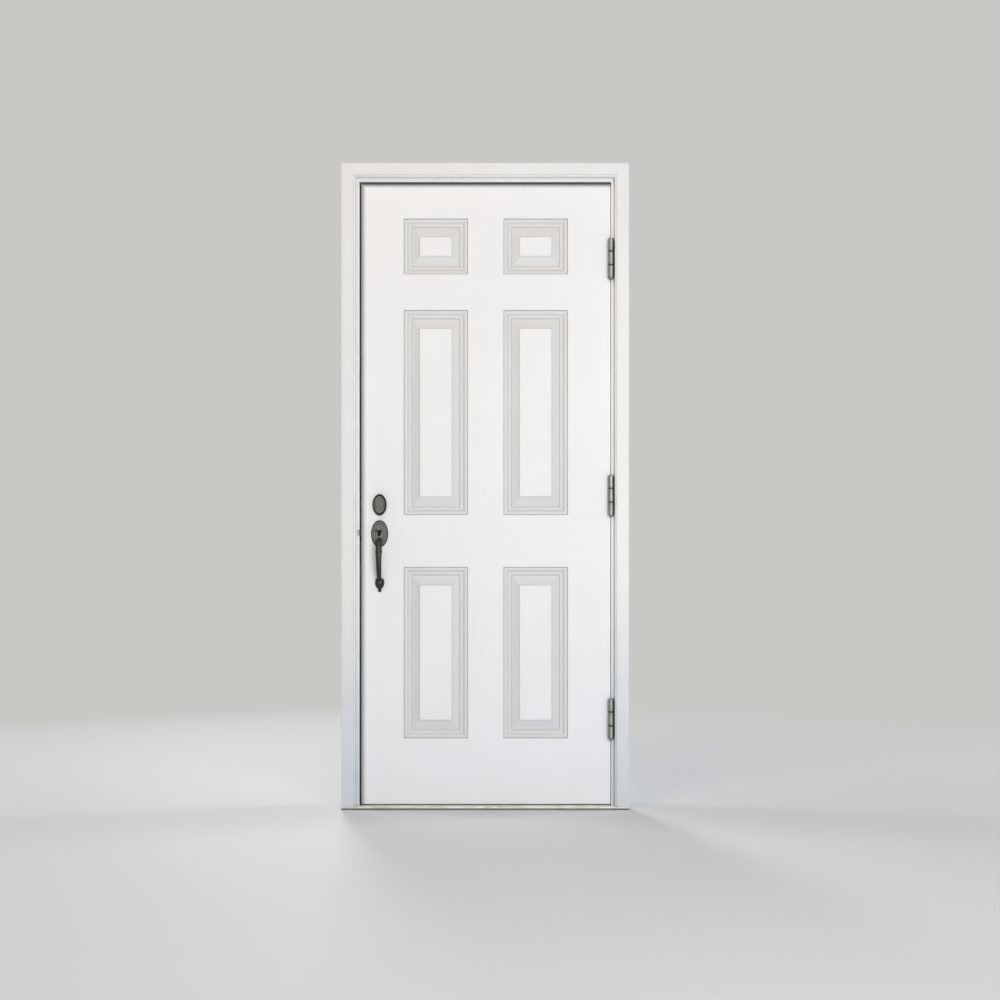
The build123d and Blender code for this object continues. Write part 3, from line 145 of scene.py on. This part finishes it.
def cornerShadeAndDust(tree, finish):
    # painted shade in the corners, and a little dust in patches on the open faces
    cornerShade = cornerFactor(tree, finish["cornerReach"], finish["cornerShade"])
    patches = addNode(tree, "ShaderNodeMapRange", {
        "Value": blotches(tree, finish["dustPatch"]), **finish["patches"],
    }).outputs["Result"]
    return addNode(tree, "ShaderNodeMath", {0: cornerShade, 1: patches}, operation="ADD", use_clamp=True).outputs[0]


def coats(tree, paint, layers):
    # each layer is a factor and the colour that it brings in
    for factor, tone in layers:
        paint = addNode(tree, "ShaderNodeMix", {"Factor": factor, 6: paint, 7: srgb(tone)},
                        data_type="RGBA").outputs[2]
    return paint


def shadedBelow(tree, paint, finish):
    # painted shade: the paint turns darker and cooler towards the floor
    factor = placeFactor(tree, "Z", finish["lowFrom"], finish["lowTo"])
    return addNode(tree, "ShaderNodeMix", {"Factor": factor, 6: paint, 7: srgb(finish["lowShadeTone"])},
                   data_type="RGBA", blend_type="MULTIPLY").outputs[2]


def rebateShadow(tree, low, high):
    # painted shadow: strongest at the latch edge and the top edge, fading over a reach
    side = placeFactor(tree, "X", low.x + leafFinish["sideReach"], low.x)
    top = placeFactor(tree, "Z", high.z - leafFinish["topReach"], high.z, leafFinish["topFull"])
    near = addNode(tree, "ShaderNodeMath", {0: side, 1: top}, operation="MAXIMUM").outputs[0]
    fading = addNode(tree, "ShaderNodeMath", {0: near, 1: leafFinish["rebateFade"]}, operation="POWER").outputs[0]
    return addNode(tree, "ShaderNodeMath", {0: fading, 1: leafFinish["rebateDepth"]},
                   operation="MULTIPLY").outputs[0]


def bakedEnamelOnSteel(name, skin, outward):
    # factory-sprayed satin enamel on pressed sheet: faint orange peel, painted shade in the relief and its corners, a
    # little dust in patches
    material, tree = startMaterial(name)
    low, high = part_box(skin)
    face = low.y if outward < 0 else high.y
    # painted shade: darker where the relief is pressed deeper than the face
    sunk = placeFactor(tree, "Y", face - outward * leafFinish["grooveFrom"], face - outward * leafFinish["grooveTo"])
    # painted shade: darker on the relief's steps, the more they slope away from the face
    normal = addNode(tree, "ShaderNodeTexCoord").outputs["Normal"]
    depthwise = addNode(tree, "ShaderNodeSeparateXYZ", {"Vector": normal}).outputs["Y"]
    facing = addNode(tree, "ShaderNodeMath", {0: depthwise, 1: outward}, operation="MULTIPLY").outputs[0]
    steps = addNode(tree, "ShaderNodeMapRange", {"Value": facing, **leafFinish["steps"]}).outputs["Result"]
    # the inside face takes the darker paint, painted shade
    paint = coats(tree, srgb(leafFinish["outsidePaint" if outward < 0 else "insidePaintShaded"]), [
        (sunk, leafFinish["grooveShadeTone"]),
        (steps, leafFinish["slopeShadeTone"]),
        # painted shade in corners, with dust in patches
        (cornerShadeAndDust(tree, leafFinish), leafFinish["shadeAndDust"]),
    ])
    # painted shade: darker and cooler towards the floor
    paint = shadedBelow(tree, paint, leafFinish)
    # painted shadow from the casing along the latch side and the top
    if outward < 0:
        paint = coats(tree, paint, [(rebateShadow(tree, low, high), leafFinish["rebateShadowTone"])])
    dullness = addNode(tree, "ShaderNodeMapRange", {
        "Value": blotches(tree, leafFinish["dullPatch"]), **leafFinish["dullness"],
    }).outputs["Result"]
    peel = blotches(tree, leafFinish["peel"], detail=1.0)
    closeMaterial(tree, {"Base Color": paint, "Roughness": dullness,
                         "Normal": relief(tree, peel, leafFinish, leafFinish["edge"])})
    return material


timberPaint = {
    "paint": "#ecece9",
    "stroke": 0.7, "strokeRun": 70, "strokeDetail": 4.0, "strokeRough": 0.6,
    "grain": 5.0, "grainRun": 30, "grainDetail": 2.0,
    "dullness": span(0.3, 0.7, 0.39, 0.53),
    "reliefStrength": 0.35, "reliefDepth": 0.00008, "edge": 0.0009,
    # painted shade in corners, and dust in patches on the open faces
    "shadeAndDust": "#b3b1aa", "cornerReach": 0.008, "cornerShade": span(0.2, 0.8, 0.3, 0.0),
    "dustPatch": 140, "patches": span(0.3, 0.8, 0.0, 0.08),
    # painted shade: darker and cooler towards the floor
    "lowShadeTone": "#e4ebf3", "lowFrom": 0.75, "lowTo": 0.1,
}


def brushedPaintOnPine(name, along):
    # exterior acrylic brushed along the piece: fine lengthwise ridges over a little raised grain
    material, tree = startMaterial(name)
    strokes = blotches(tree, timberPaint["stroke"], alongAxis(along, timberPaint["strokeRun"]),
                       timberPaint["strokeDetail"], timberPaint["strokeRough"])
    grain = blotches(tree, timberPaint["grain"], alongAxis(along, timberPaint["grainRun"]),
                     timberPaint["grainDetail"])
    # painted shade in corners, with dust in patches
    paint = coats(tree, srgb(timberPaint["paint"]), [(cornerShadeAndDust(tree, timberPaint), timberPaint["shadeAndDust"])])
    # painted shade: darker and cooler towards the floor
    paint = shadedBelow(tree, paint, timberPaint)
    dullness = addNode(tree, "ShaderNodeMapRange", {"Value": strokes, **timberPaint["dullness"]}).outputs["Result"]
    height = addNode(tree, "ShaderNodeMath", {0: strokes, 1: grain}, operation="ADD").outputs[0]
    closeMaterial(tree, {"Base Color": paint, "Roughness": dullness,
                         "Normal": relief(tree, height, timberPaint, timberPaint["edge"])})
    return material


barePine = {
    "early": "#d3b98f", "late": "#b08d62", "lateShare": span(0.1, 0.9, 0.0, 0.8),
    "ring": 4.5, "run": 60, "wander": 6.0, "wanderDetail": 2.0, "wanderScale": 0.4,
    "fibre": 0.6, "reliefStrength": 0.3, "reliefDepth": 0.0001, "roughness": 0.62,
}


def planedPine(name, along):
    # planed softwood: pale early wood, darker late wood in long rings, matt
    material, tree = startMaterial(name)
    run = alongAxis(along, barePine["run"])
    rings = addNode(tree, "ShaderNodeTexWave", {
        "Vector": millimetres(tree, run), "Scale": 1 / barePine["ring"], "Distortion": barePine["wander"],
        "Detail": barePine["wanderDetail"], "Detail Scale": barePine["wanderScale"],
    }, wave_type="RINGS", rings_direction=along).outputs["Fac"]
    late = addNode(tree, "ShaderNodeMapRange", {"Value": rings, **barePine["lateShare"]}).outputs["Result"]
    closeMaterial(tree, {"Base Color": coats(tree, srgb(barePine["early"]), [(late, barePine["late"])]),
                         "Roughness": barePine["roughness"],
                         "Normal": relief(tree, blotches(tree, barePine["fibre"], run), barePine)})
    return material


sillMake = {
    "pale": "#8b7558", "dark": "#5f4d39", "darkShare": span(0.3, 0.7),
    "grain": 1.8, "run": 50, "detail": 4.0, "rough": 0.6,
    "reliefStrength": 0.4, "reliefDepth": 0.0002, "roughness": 0.7,
}


def treatedSill():
    # pressure-treated softwood: green-brown stain gone grey, open grain along the door's width
    material, tree = startMaterial("treatedSillTimber")
    grain = blotches(tree, sillMake["grain"], alongAxis("X", sillMake["run"]), sillMake["detail"], sillMake["rough"])
    dark = addNode(tree, "ShaderNodeMapRange", {"Value": grain, **sillMake["darkShare"]}).outputs["Result"]
    closeMaterial(tree, {"Base Color": coats(tree, srgb(sillMake["pale"]), [(dark, sillMake["dark"])]),
                         "Roughness": sillMake["roughness"], "Normal": relief(tree, grain, sillMake)})
    return material


thresholdFinish = {
    "clean": "#e7e5e1", "scuffed": "#c4c0b8", "scuffs": span(0.4, 0.72),
    "scuff": 22, "scuffRun": 1.6, "scuffDetail": 5.0, "scuffRough": 0.65,
    # painted shade: the cap darker towards its foot, low on the nose's face
    "footShadeTone": "#8a8379", "footShadeFrom": 0.010, "footShadeTo": 0.004, "footShadeMost": 0.85,
    "dullness": span(0.35, 0.75, 0.42, 0.67),
    "line": 0.5, "lineRun": 400, "lineDetail": 2.0,
    "reliefStrength": 0.25, "reliefDepth": 0.00004, "edge": 0.0005,
}


def extrudedAluminium():
    # mill-finish extrusion: die lines along its length, dulled by feet on the tread
    material, tree = startMaterial("extrudedAluminium")
    lines = blotches(tree, thresholdFinish["line"], alongAxis("X", thresholdFinish["lineRun"]),
                     thresholdFinish["lineDetail"])
    scuffs = blotches(tree, thresholdFinish["scuff"], alongAxis("X", thresholdFinish["scuffRun"]),
                      thresholdFinish["scuffDetail"], thresholdFinish["scuffRough"])
    worn = addNode(tree, "ShaderNodeMapRange", {"Value": scuffs, **thresholdFinish["scuffs"]}).outputs["Result"]
    # painted shade: darker towards the foot of the cap
    footShaded = placeFactor(tree, "Z", thresholdFinish["footShadeFrom"], thresholdFinish["footShadeTo"],
                           thresholdFinish["footShadeMost"])
    tone = coats(tree, srgb(thresholdFinish["clean"]), [
        (worn, thresholdFinish["scuffed"]),
        (footShaded, thresholdFinish["footShadeTone"]),
    ])
    dullness = addNode(tree, "ShaderNodeMapRange", {"Value": scuffs, **thresholdFinish["dullness"]}).outputs["Result"]
    closeMaterial(tree, {"Base Color": tone, "Roughness": dullness, "Metallic": 1.0,
                         "Normal": relief(tree, lines, thresholdFinish, thresholdFinish["edge"])})
    return material


softFinishes = {
    # foam seal in a brown vinyl jacket: soft, matt, slightly wrinkled
    "vinylJacketedFoam": {"main": "#3b342d", "clouded": "#2a2520", "roughness": 0.55,
                          "cloud": 3.0, "run": (1, 1, 3), "reliefStrength": 0.4, "reliefDepth": 0.0003},
    # flexible vinyl fins under the leaf: pale grey, slightly waxy
    "flexibleGreyVinyl": {"main": "#c4c2bd", "clouded": "#aaa8a2", "roughness": 0.48,
                          "cloud": 9.0, "run": (4, 1, 1), "reliefStrength": 0.3, "reliefDepth": 0.0002},
}


def softSkin(name):
    material, tree = startMaterial(name)
    make = softFinishes[name]
    cloud = blotches(tree, make["cloud"], make["run"])
    closeMaterial(tree, {"Base Color": coats(tree, srgb(make["main"]), [(cloud, make["clouded"])]),
                         "Roughness": make["roughness"], "Normal": relief(tree, cloud, make)})
    return material


coreMake = {
    "wall": "#c7b382", "cell": "#e3d3a4", "cellSize": 0.9, "roughness": 0.9,
    "reliefStrength": 0.5, "reliefDepth": 0.0003,
}


def poredFoam():
    # rigid urethane foam as it is cut: pale yellow, fine open cells
    material, tree = startMaterial("rigidUrethaneFoam")
    cells = addNode(tree, "ShaderNodeTexVoronoi", {
        "Vector": millimetres(tree), "Scale": 1 / coreMake["cellSize"],
    }).outputs["Distance"]
    closeMaterial(tree, {"Base Color": coats(tree, srgb(coreMake["wall"]), [(cells, coreMake["cell"])]),
                         "Roughness": coreMake["roughness"], "Normal": relief(tree, cells, coreMake)})
    return material


metalFinishes = {
    # satin nickel plate on rolled steel: brushed up and down, darker at the joints
    "satinNickelOnSteel": {"light": "#959792", "dark": "#434442", "roughness": 0.46,
                           "grain": 0.5, "run": (1, 1, 30), "edge": 0.0006},
    # rings between the knuckles: darker steel, so that each joint shows as a line
    "blackenedBearingSteel": {"light": "#4c4d4c", "dark": "#232423", "roughness": 0.42,
                              "grain": 0.5, "edge": 0.0004},
    # clear zinc on small fittings: pale, slightly blue
    "clearZincOnSteel": {"light": "#999b9c", "dark": "#5f6162", "roughness": 0.38,
                         "grain": 0.6, "edge": 0.0003},
    # antique pewter over cast zinc: dark plate rubbed back on open faces, near black in the corners
    "antiquePewterCasting": {"light": "#6f6d66", "dark": "#262421", "roughness": 0.46,
                             "grain": 0.8, "edge": 0.0007, "openTarnish": 0.12},
    # the two oval plates outside hold dark plate in their turned steps; their rims carry a painted dark reflection:
    # each ring is where it starts, is full and ends, as shares of the plate's half size, and its depth
    "antiquePewterRose": {"light": "#696760", "dark": "#161513", "roughness": 0.48,
                          "grain": 0.8, "edge": 0.0007, "openTarnish": 0.05, "plate": "deadbolt_rose",
                          "rings": ((0.74, 0.87, 4.0, 1.0), (0.50, 0.58, 0.66, 0.5), (0.22, 0.28, 0.34, 0.35))},
    "antiquePewterPlate": {"light": "#73716a", "dark": "#1c1b19", "roughness": 0.48,
                           "grain": 0.8, "edge": 0.0007, "openTarnish": 0.05, "plate": "escutcheon",
                           "rings": ((0.86, 0.96, 4.0, 0.95), (0.64, 0.74, 0.82, 0.6), (0.40, 0.46, 0.52, 0.5))},
    # the grip and thumbpiece are given darker tones than the plates
    "handledPewterGrip": {"light": "#4d4b46", "dark": "#1e1c1a", "roughness": 0.5,
                          "grain": 0.8, "edge": 0.0007, "openTarnish": 0.15},
    "darkPewterThumbpiece": {"light": "#262422", "dark": "#0e0d0c", "roughness": 0.5,
                             "grain": 0.8, "edge": 0.0007, "openTarnish": 0.2},
}

metalWear = {
    "cornerReach": 0.006, "cornerClosed": 0.45, "cornerOpen": 0.95,
    "cloud": 14, "cloudDetail": 4.0, "cloudRough": 0.6, "cloudDepth": 0.35, "cloudStart": -0.15,
    "brighter": 0.05, "duller": 0.08,          # either side of a finish's own roughness
    "reliefStrength": 0.2, "reliefDepth": 0.00003,
}


def stepPatinaAndRimReflection(tree, darkening, plate, rings):
    # rings of patina in the turned steps, the outermost ring a painted dark reflection round the rim
    low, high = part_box(plate)
    middle, half = (low + high) / 2, (high - low) / 2
    place = addNode(tree, "ShaderNodeTexCoord").outputs["Object"]
    oval = addNode(tree, "ShaderNodeVectorMath", {
        0: place, 1: (1 / half.x, 0, 1 / half.z), 2: (-middle.x / half.x, 0, -middle.z / half.z),
    }, operation="MULTIPLY_ADD").outputs[0]
    away = addNode(tree, "ShaderNodeVectorMath", {0: oval}, operation="LENGTH").outputs["Value"]
    for start, full, end, depth in rings:
        rising, falling = [addNode(tree, "ShaderNodeMapRange", {"Value": away, **limits}).outputs["Result"]
                           for limits in (span(start, full, 0.0, depth), span(full, end, depth, 0.0))]
        ring = addNode(tree, "ShaderNodeMath", {0: rising, 1: falling}, operation="MINIMUM").outputs[0]
        darkening = addNode(tree, "ShaderNodeMath", {0: darkening, 1: ring}, operation="MAXIMUM").outputs[0]
    return darkening


def wornMetal(name):
    # plated and cast metals: tarnish in the corners, wear on open faces
    material, tree = startMaterial(name)
    finish = metalFinishes[name]
    darkening = cornerFactor(tree, metalWear["cornerReach"], span(
        metalWear["cornerClosed"], metalWear["cornerOpen"], 1.0, finish.get("openTarnish", 0.0)))
    # the outside plates add rings: patina in their steps, painted dark reflection round the rim
    if "rings" in finish:
        darkening = stepPatinaAndRimReflection(tree, darkening, finish["plate"], finish["rings"])
    cloud = blotches(tree, metalWear["cloud"], detail=metalWear["cloudDetail"], rough=metalWear["cloudRough"])
    clouded = addNode(tree, "ShaderNodeMath", {0: cloud, 1: metalWear["cloudDepth"], 2: metalWear["cloudStart"]},
                      operation="MULTIPLY_ADD", use_clamp=True).outputs[0]
    dark = addNode(tree, "ShaderNodeMath", {0: darkening, 1: clouded}, operation="ADD", use_clamp=True).outputs[0]
    limits = span(0.3, 0.7, finish["roughness"] - metalWear["brighter"], finish["roughness"] + metalWear["duller"])
    dullness = addNode(tree, "ShaderNodeMapRange", {"Value": cloud, **limits}).outputs["Result"]
    grain = blotches(tree, finish["grain"], finish.get("run", (1, 1, 1)))
    closeMaterial(tree, {"Base Color": coats(tree, srgb(finish["light"]), [(dark, finish["dark"])]),
                         "Roughness": dullness, "Metallic": 1.0,
                         "Normal": relief(tree, grain, metalWear, finish["edge"])})
    return material


outsideEnamel = bakedEnamelOnSteel("bakedEnamelOutside", "exterior_skin", -1)
insideEnamel = bakedEnamelOnSteel("bakedEnamelInside", "interior_skin", 1)
uprightPaint = brushedPaintOnPine("brushedPaintUpright", "Z")
levelPaint = brushedPaintOnPine("brushedPaintLevel", "X")
uprightPine = planedPine("planedPineUpright", "Z")
levelPine = planedPine("planedPineLevel", "X")
sillTimber = treatedSill()
aluminium = extrudedAluminium()
sealSkin = softSkin("vinylJacketedFoam")
sweepVinyl = softSkin("flexibleGreyVinyl")
foam = poredFoam()
metals = {name: wornMetal(name) for name in metalFinishes}
zincPlate = metals["clearZincOnSteel"]
print("materials made:", len(bpy.data.materials))

finishes = {
    outsideEnamel: ["exterior_skin"],
    insideEnamel: ["interior_skin"],
    uprightPaint: ["hinge_jamb", "latch_jamb", "hinge_stop", "latch_stop",
                   "latch_side_brickmould", "hinge_side_brickmould"],
    levelPaint: ["head_jamb", "head_stop", "head_brickmould"],
    uprightPine: ["hinge_stile", "lock_stile", "lock_block"],
    levelPine: ["top_rail", "bottom_rail"],
    sillTimber: ["sill"],
    aluminium: ["threshold_cap"],
    sealSkin: ["threshold_seal", "latch_side_seal", "hinge_side_seal", "head_seal", "corner_pads"],
    sweepVinyl: ["bottom_sweep"],
    foam: ["foam_core"],
    metals["satinNickelOnSteel"]: [n for n in nodes if "_hinge_" in n and "screws" not in n],
    metals["blackenedBearingSteel"]: ["hinge_bearings"],
    zincPlate: [n for n in nodes if n.endswith("screws")] + [
        "deadbolt_strike", "latch_strike", "deadbolt_case", "latch_case", "deadbolt_faceplate",
        "latch_faceplate", "deadbolt", "latch_bolt", "grip_foot_bolt"],
    metals["antiquePewterCasting"]: ["deadbolt_inside_plate", "thumbturn", "latch_inside_rose",
                                     "inside_knob", "key_plug"],
    metals["antiquePewterRose"]: ["deadbolt_rose"],
    metals["antiquePewterPlate"]: ["escutcheon"],
    metals["handledPewterGrip"]: ["grip_handle"],
    metals["darkPewterThumbpiece"]: ["thumbpiece"],
}
for finish, names in finishes.items():
    for name in names:
        nodes[name].data.materials.clear()
        nodes[name].data.materials.append(finish)
bare = [n for n, o in nodes.items() if not o.data.materials or o.data.materials[0] not in finishes]
print("finished nodes, still bare:", bare)


# screws with a cross recess pressed into each head
screwMake = {
    "sides": 40,
    "armReach": 0.56, "armHalf": 0.13,       # of the head's radius
    "recess": 0.0013,
    "floorShare": 0.35, "floorEdge": 0.82, "floorDepth": 0.55,    # the recess tapers inwards
    "lip": 0.00012,           # easing round the recess
    "flat": 0.74,             # of the head's radius
    "crown": 0.00012,         # how far the head's rim is eased
    "headBack": 0.0024,
}


def recessReach(angle, headRadius):
    # how far the cross reaches from the middle in this direction
    across, along = sorted((abs(math.cos(angle)), abs(math.sin(angle))))
    reach = screwMake["armReach"] * headRadius / along
    half = screwMake["armHalf"] * headRadius
    return min(reach, half / across if across > 1e-6 else reach)


def addScrew(form, head, inward, length, headRadius, shankRadius):
    sides, deep, lip, crown = (screwMake[k] for k in ("sides", "recess", "lip", "crown"))
    place = Matrix.Translation(head) @ Vector((0, 0, 1)).rotation_difference(inward).to_matrix().to_4x4()
    angles = [2 * math.pi * (i + 0.5) / sides for i in range(sides)]

    def cross(share, more=0.0):
        return [share * recessReach(a, headRadius) + more for a in angles]

    def circle(radius):
        return [radius] * sides

    profile = [
        (cross(screwMake["floorShare"]), deep),
        (cross(screwMake["floorEdge"]), screwMake["floorDepth"] * deep),
        (cross(1.0), lip / 2),
        (cross(1.0, lip), 0.0),
        (circle(screwMake["flat"] * headRadius), 0.0),
        (circle(headRadius - 1.5 * crown), 0.0),
        (circle(headRadius), crown),
        (circle(shankRadius), screwMake["headBack"]),
        (circle(shankRadius), length),
    ]
    loops = [[form.verts.new(place @ Vector((reach * math.cos(a), reach * math.sin(a), depth)))
              for reach, a in zip(reaches, angles)] for reaches, depth in profile]
    for near, far in zip(loops, loops[1:]):
        for i in range(sides):
            j = (i + 1) % sides
            form.faces.new((near[i], near[j], far[j], far[i]))
    form.faces.new(loops[0])
    form.faces.new(list(reversed(loops[-1])))


def islands(mesh):
    # the corner points of each separate screw in a group
    form = bmesh.new()
    form.from_mesh(mesh)
    bmesh.ops.remove_doubles(form, verts=form.verts, dist=1e-6)
    left = set(form.verts)
    while left:
        found, reached = [], [left.pop()]
        while reached:
            vert = reached.pop()
            found.append(vert)
            for edge in vert.link_edges:
                other = edge.other_vert(vert)
                if other in left:
                    left.remove(other)
                    reached.append(other)
        yield [v.co.copy() for v in found]
    form.free()


def makeScrews(node, body):
    form = bmesh.new()
    for points in islands(nodes[node].data):
        low = Vector(min(p[i] for p in points) for i in range(3))
        high = Vector(max(p[i] for p in points) for i in range(3))
        middle = (low + high) / 2
        axis = max(range(3), key=lambda i: high[i] - low[i])

        def widest(at):
            ring = [p for p in points if abs(p[axis] - at) < 1e-5]
            return max(math.sqrt(sum((p[i] - middle[i]) ** 2 for i in range(3) if i != axis)) for p in ring)

        start, end = low[axis], high[axis]
        if widest(end) > widest(start):
            start, end = end, start
        head = middle.copy()
        head[axis] = start
        inward = Vector((0, 0, 0))
        inward[axis] = 1 if end > start else -1
        addScrew(form, head, inward, abs(end - start), widest(start), widest(end))
    bmesh.ops.recalc_face_normals(form, faces=form.faces)
    mesh = bpy.data.meshes.new(node + "_crosshead")
    form.to_mesh(mesh)
    form.free()
    mesh.materials.append(zincPlate)
    piece = bpy.data.objects.new(node + "_crosshead", mesh)
    bpy.context.scene.collection.objects.link(piece)
    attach(piece, body)
    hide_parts(node)
    return len(mesh.polygons)


screwBodies = {
    "door_frame": ["frame_hinge_screws", "strike_screws"],
    "door_leaf": ["door_hinge_screws", "faceplate_screws", "trim_screws"],
}
cut = [makeScrews(node, body) for body, names in screwBodies.items() for node in names]
print("cross-head screws, faces:", cut)


studio = {
    "backdrop": "#c9c8c5", "ambient": 0.15,
    "floor": "#dfe2e6", "floorRoughness": 0.8, "floorRadius": 40.0, "floorSides": 96,
    "floorDrop": 0.0003,                     # keeps the floor clear of the sill's underside
    "fade": span(1.0, 3.6),                  # metres over which the floor turns into the backdrop
}


def seenDirectly(tree):
    # 1 for what the camera sees and what shiny pieces mirror
    rays = addNode(tree, "ShaderNodeLightPath").outputs
    return addNode(tree, "ShaderNodeMath", {0: rays["Is Camera Ray"], 1: rays["Is Glossy Ray"]},
                   operation="MAXIMUM").outputs[0]


def paleFloor():
    material, tree = startMaterial("paleStudioFloor")
    plain = addNode(tree, "ShaderNodeBsdfPrincipled", {
        "Base Color": srgb(studio["floor"]), "Roughness": studio["floorRoughness"],
    }).outputs["BSDF"]
    place = addNode(tree, "ShaderNodeTexCoord").outputs["Object"]
    away = addNode(tree, "ShaderNodeVectorMath", {0: place}, operation="LENGTH").outputs["Value"]
    fade = addNode(tree, "ShaderNodeMapRange", {"Value": away, **studio["fade"]}).outputs["Result"]
    share = addNode(tree, "ShaderNodeMath", {0: fade, 1: seenDirectly(tree)}, operation="MULTIPLY").outputs[0]
    glow = addNode(tree, "ShaderNodeEmission", {"Color": srgb(studio["backdrop"]), "Strength": 1.0}).outputs[0]
    both = addNode(tree, "ShaderNodeMixShader", {0: share, 1: plain, 2: glow}).outputs[0]
    addNode(tree, "ShaderNodeOutputMaterial", {"Surface": both})
    return material


def makeFloor():
    mesh = bpy.data.meshes.new("floor")
    form = bmesh.new()
    bmesh.ops.create_circle(form, cap_ends=True, segments=studio["floorSides"], radius=studio["floorRadius"])
    form.to_mesh(mesh)
    form.free()
    mesh.materials.append(paleFloor())
    floor = bpy.data.objects.new("floor", mesh)
    floor.location.z = -studio["floorDrop"]
    bpy.context.scene.collection.objects.link(floor)


def makeWorld():
    world = bpy.data.worlds.new("studioAir")
    bpy.context.scene.world = world
    world.use_nodes = True
    tree = world.node_tree
    tree.nodes.clear()
    soft = addNode(tree, "ShaderNodeBackground", {"Color": (1, 1, 1, 1), "Strength": studio["ambient"]}).outputs[0]
    shown = addNode(tree, "ShaderNodeBackground", {"Color": srgb(studio["backdrop"]), "Strength": 1.0}).outputs[0]
    both = addNode(tree, "ShaderNodeMixShader", {0: seenDirectly(tree), 1: soft, 2: shown}).outputs[0]
    addNode(tree, "ShaderNodeOutputWorld", {"Surface": both})


# The photo's light comes from about eye level, a little right of the lens, with some from overhead.
lamps = {
    "front": {"at": (1.1, -4.6, 1.35), "aim": (0, 0, 1.1), "size": 2.0, "power": 124, "colour": "#f4f8ff"},
    "overhead": {"at": (-1.1, -2.8, 4.2), "aim": (0, 0, 1.3), "size": 1.6, "power": 40, "colour": "#ffe6c8"},
    "leftSide": {"at": (-5.5, 1.6, 2.2), "aim": (0, 0.1, 1.0), "size": 1.6, "power": 110, "colour": "#ffffff"},
    "rightSide": {"at": (5.5, 1.6, 2.2), "aim": (0, 0.1, 1.0), "size": 1.6, "power": 110, "colour": "#ffffff"},
    "back": {"at": (-1.5, 6.5, 2.6), "aim": (0, 0, 1.0), "size": 1.6, "power": 206, "colour": "#ffffff"},
}


def makeLamps():
    for name, lamp in lamps.items():
        light = bpy.data.lights.new(name, "AREA")
        light.shape = "DISK"
        light.size = lamp["size"]
        light.energy = lamp["power"]
        light.color = srgb(lamp["colour"])[:3]
        item = bpy.data.objects.new(name, light)
        item.location = lamp["at"]
        item.rotation_euler = (Vector(lamp["aim"]) - Vector(lamp["at"])).to_track_quat("-Z", "Y").to_euler()
        bpy.context.scene.collection.objects.link(item)


# The photograph looks level and straight on, from a little right of the leaf's middle.
view = {
    "distance": 5.2,          # from the leaf's face
    "right": 0.0282, "height": 0.8013,
    "lens": 57.9, "sensor": 36,              # mm
    "shiftX": 0.006, "shiftY": 0.06,
    "far": 200,
}


def makeCamera():
    lens = bpy.data.cameras.new("view")
    lens.sensor_width = view["sensor"]
    lens.lens = view["lens"]
    lens.shift_x = view["shiftX"]
    lens.shift_y = view["shiftY"]
    lens.clip_end = view["far"]
    camera = bpy.data.objects.new("view", lens)
    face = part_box("exterior_skin")[0].y
    camera.location = (view["right"], face - view["distance"], view["height"])
    camera.rotation_euler = (math.radians(90), 0, 0)
    bpy.context.scene.collection.objects.link(camera)
    bpy.context.scene.camera = camera


makeFloor()
makeWorld()
makeLamps()
makeCamera()
bpy.context.scene.view_settings.view_transform = "Standard"
print("stage set")
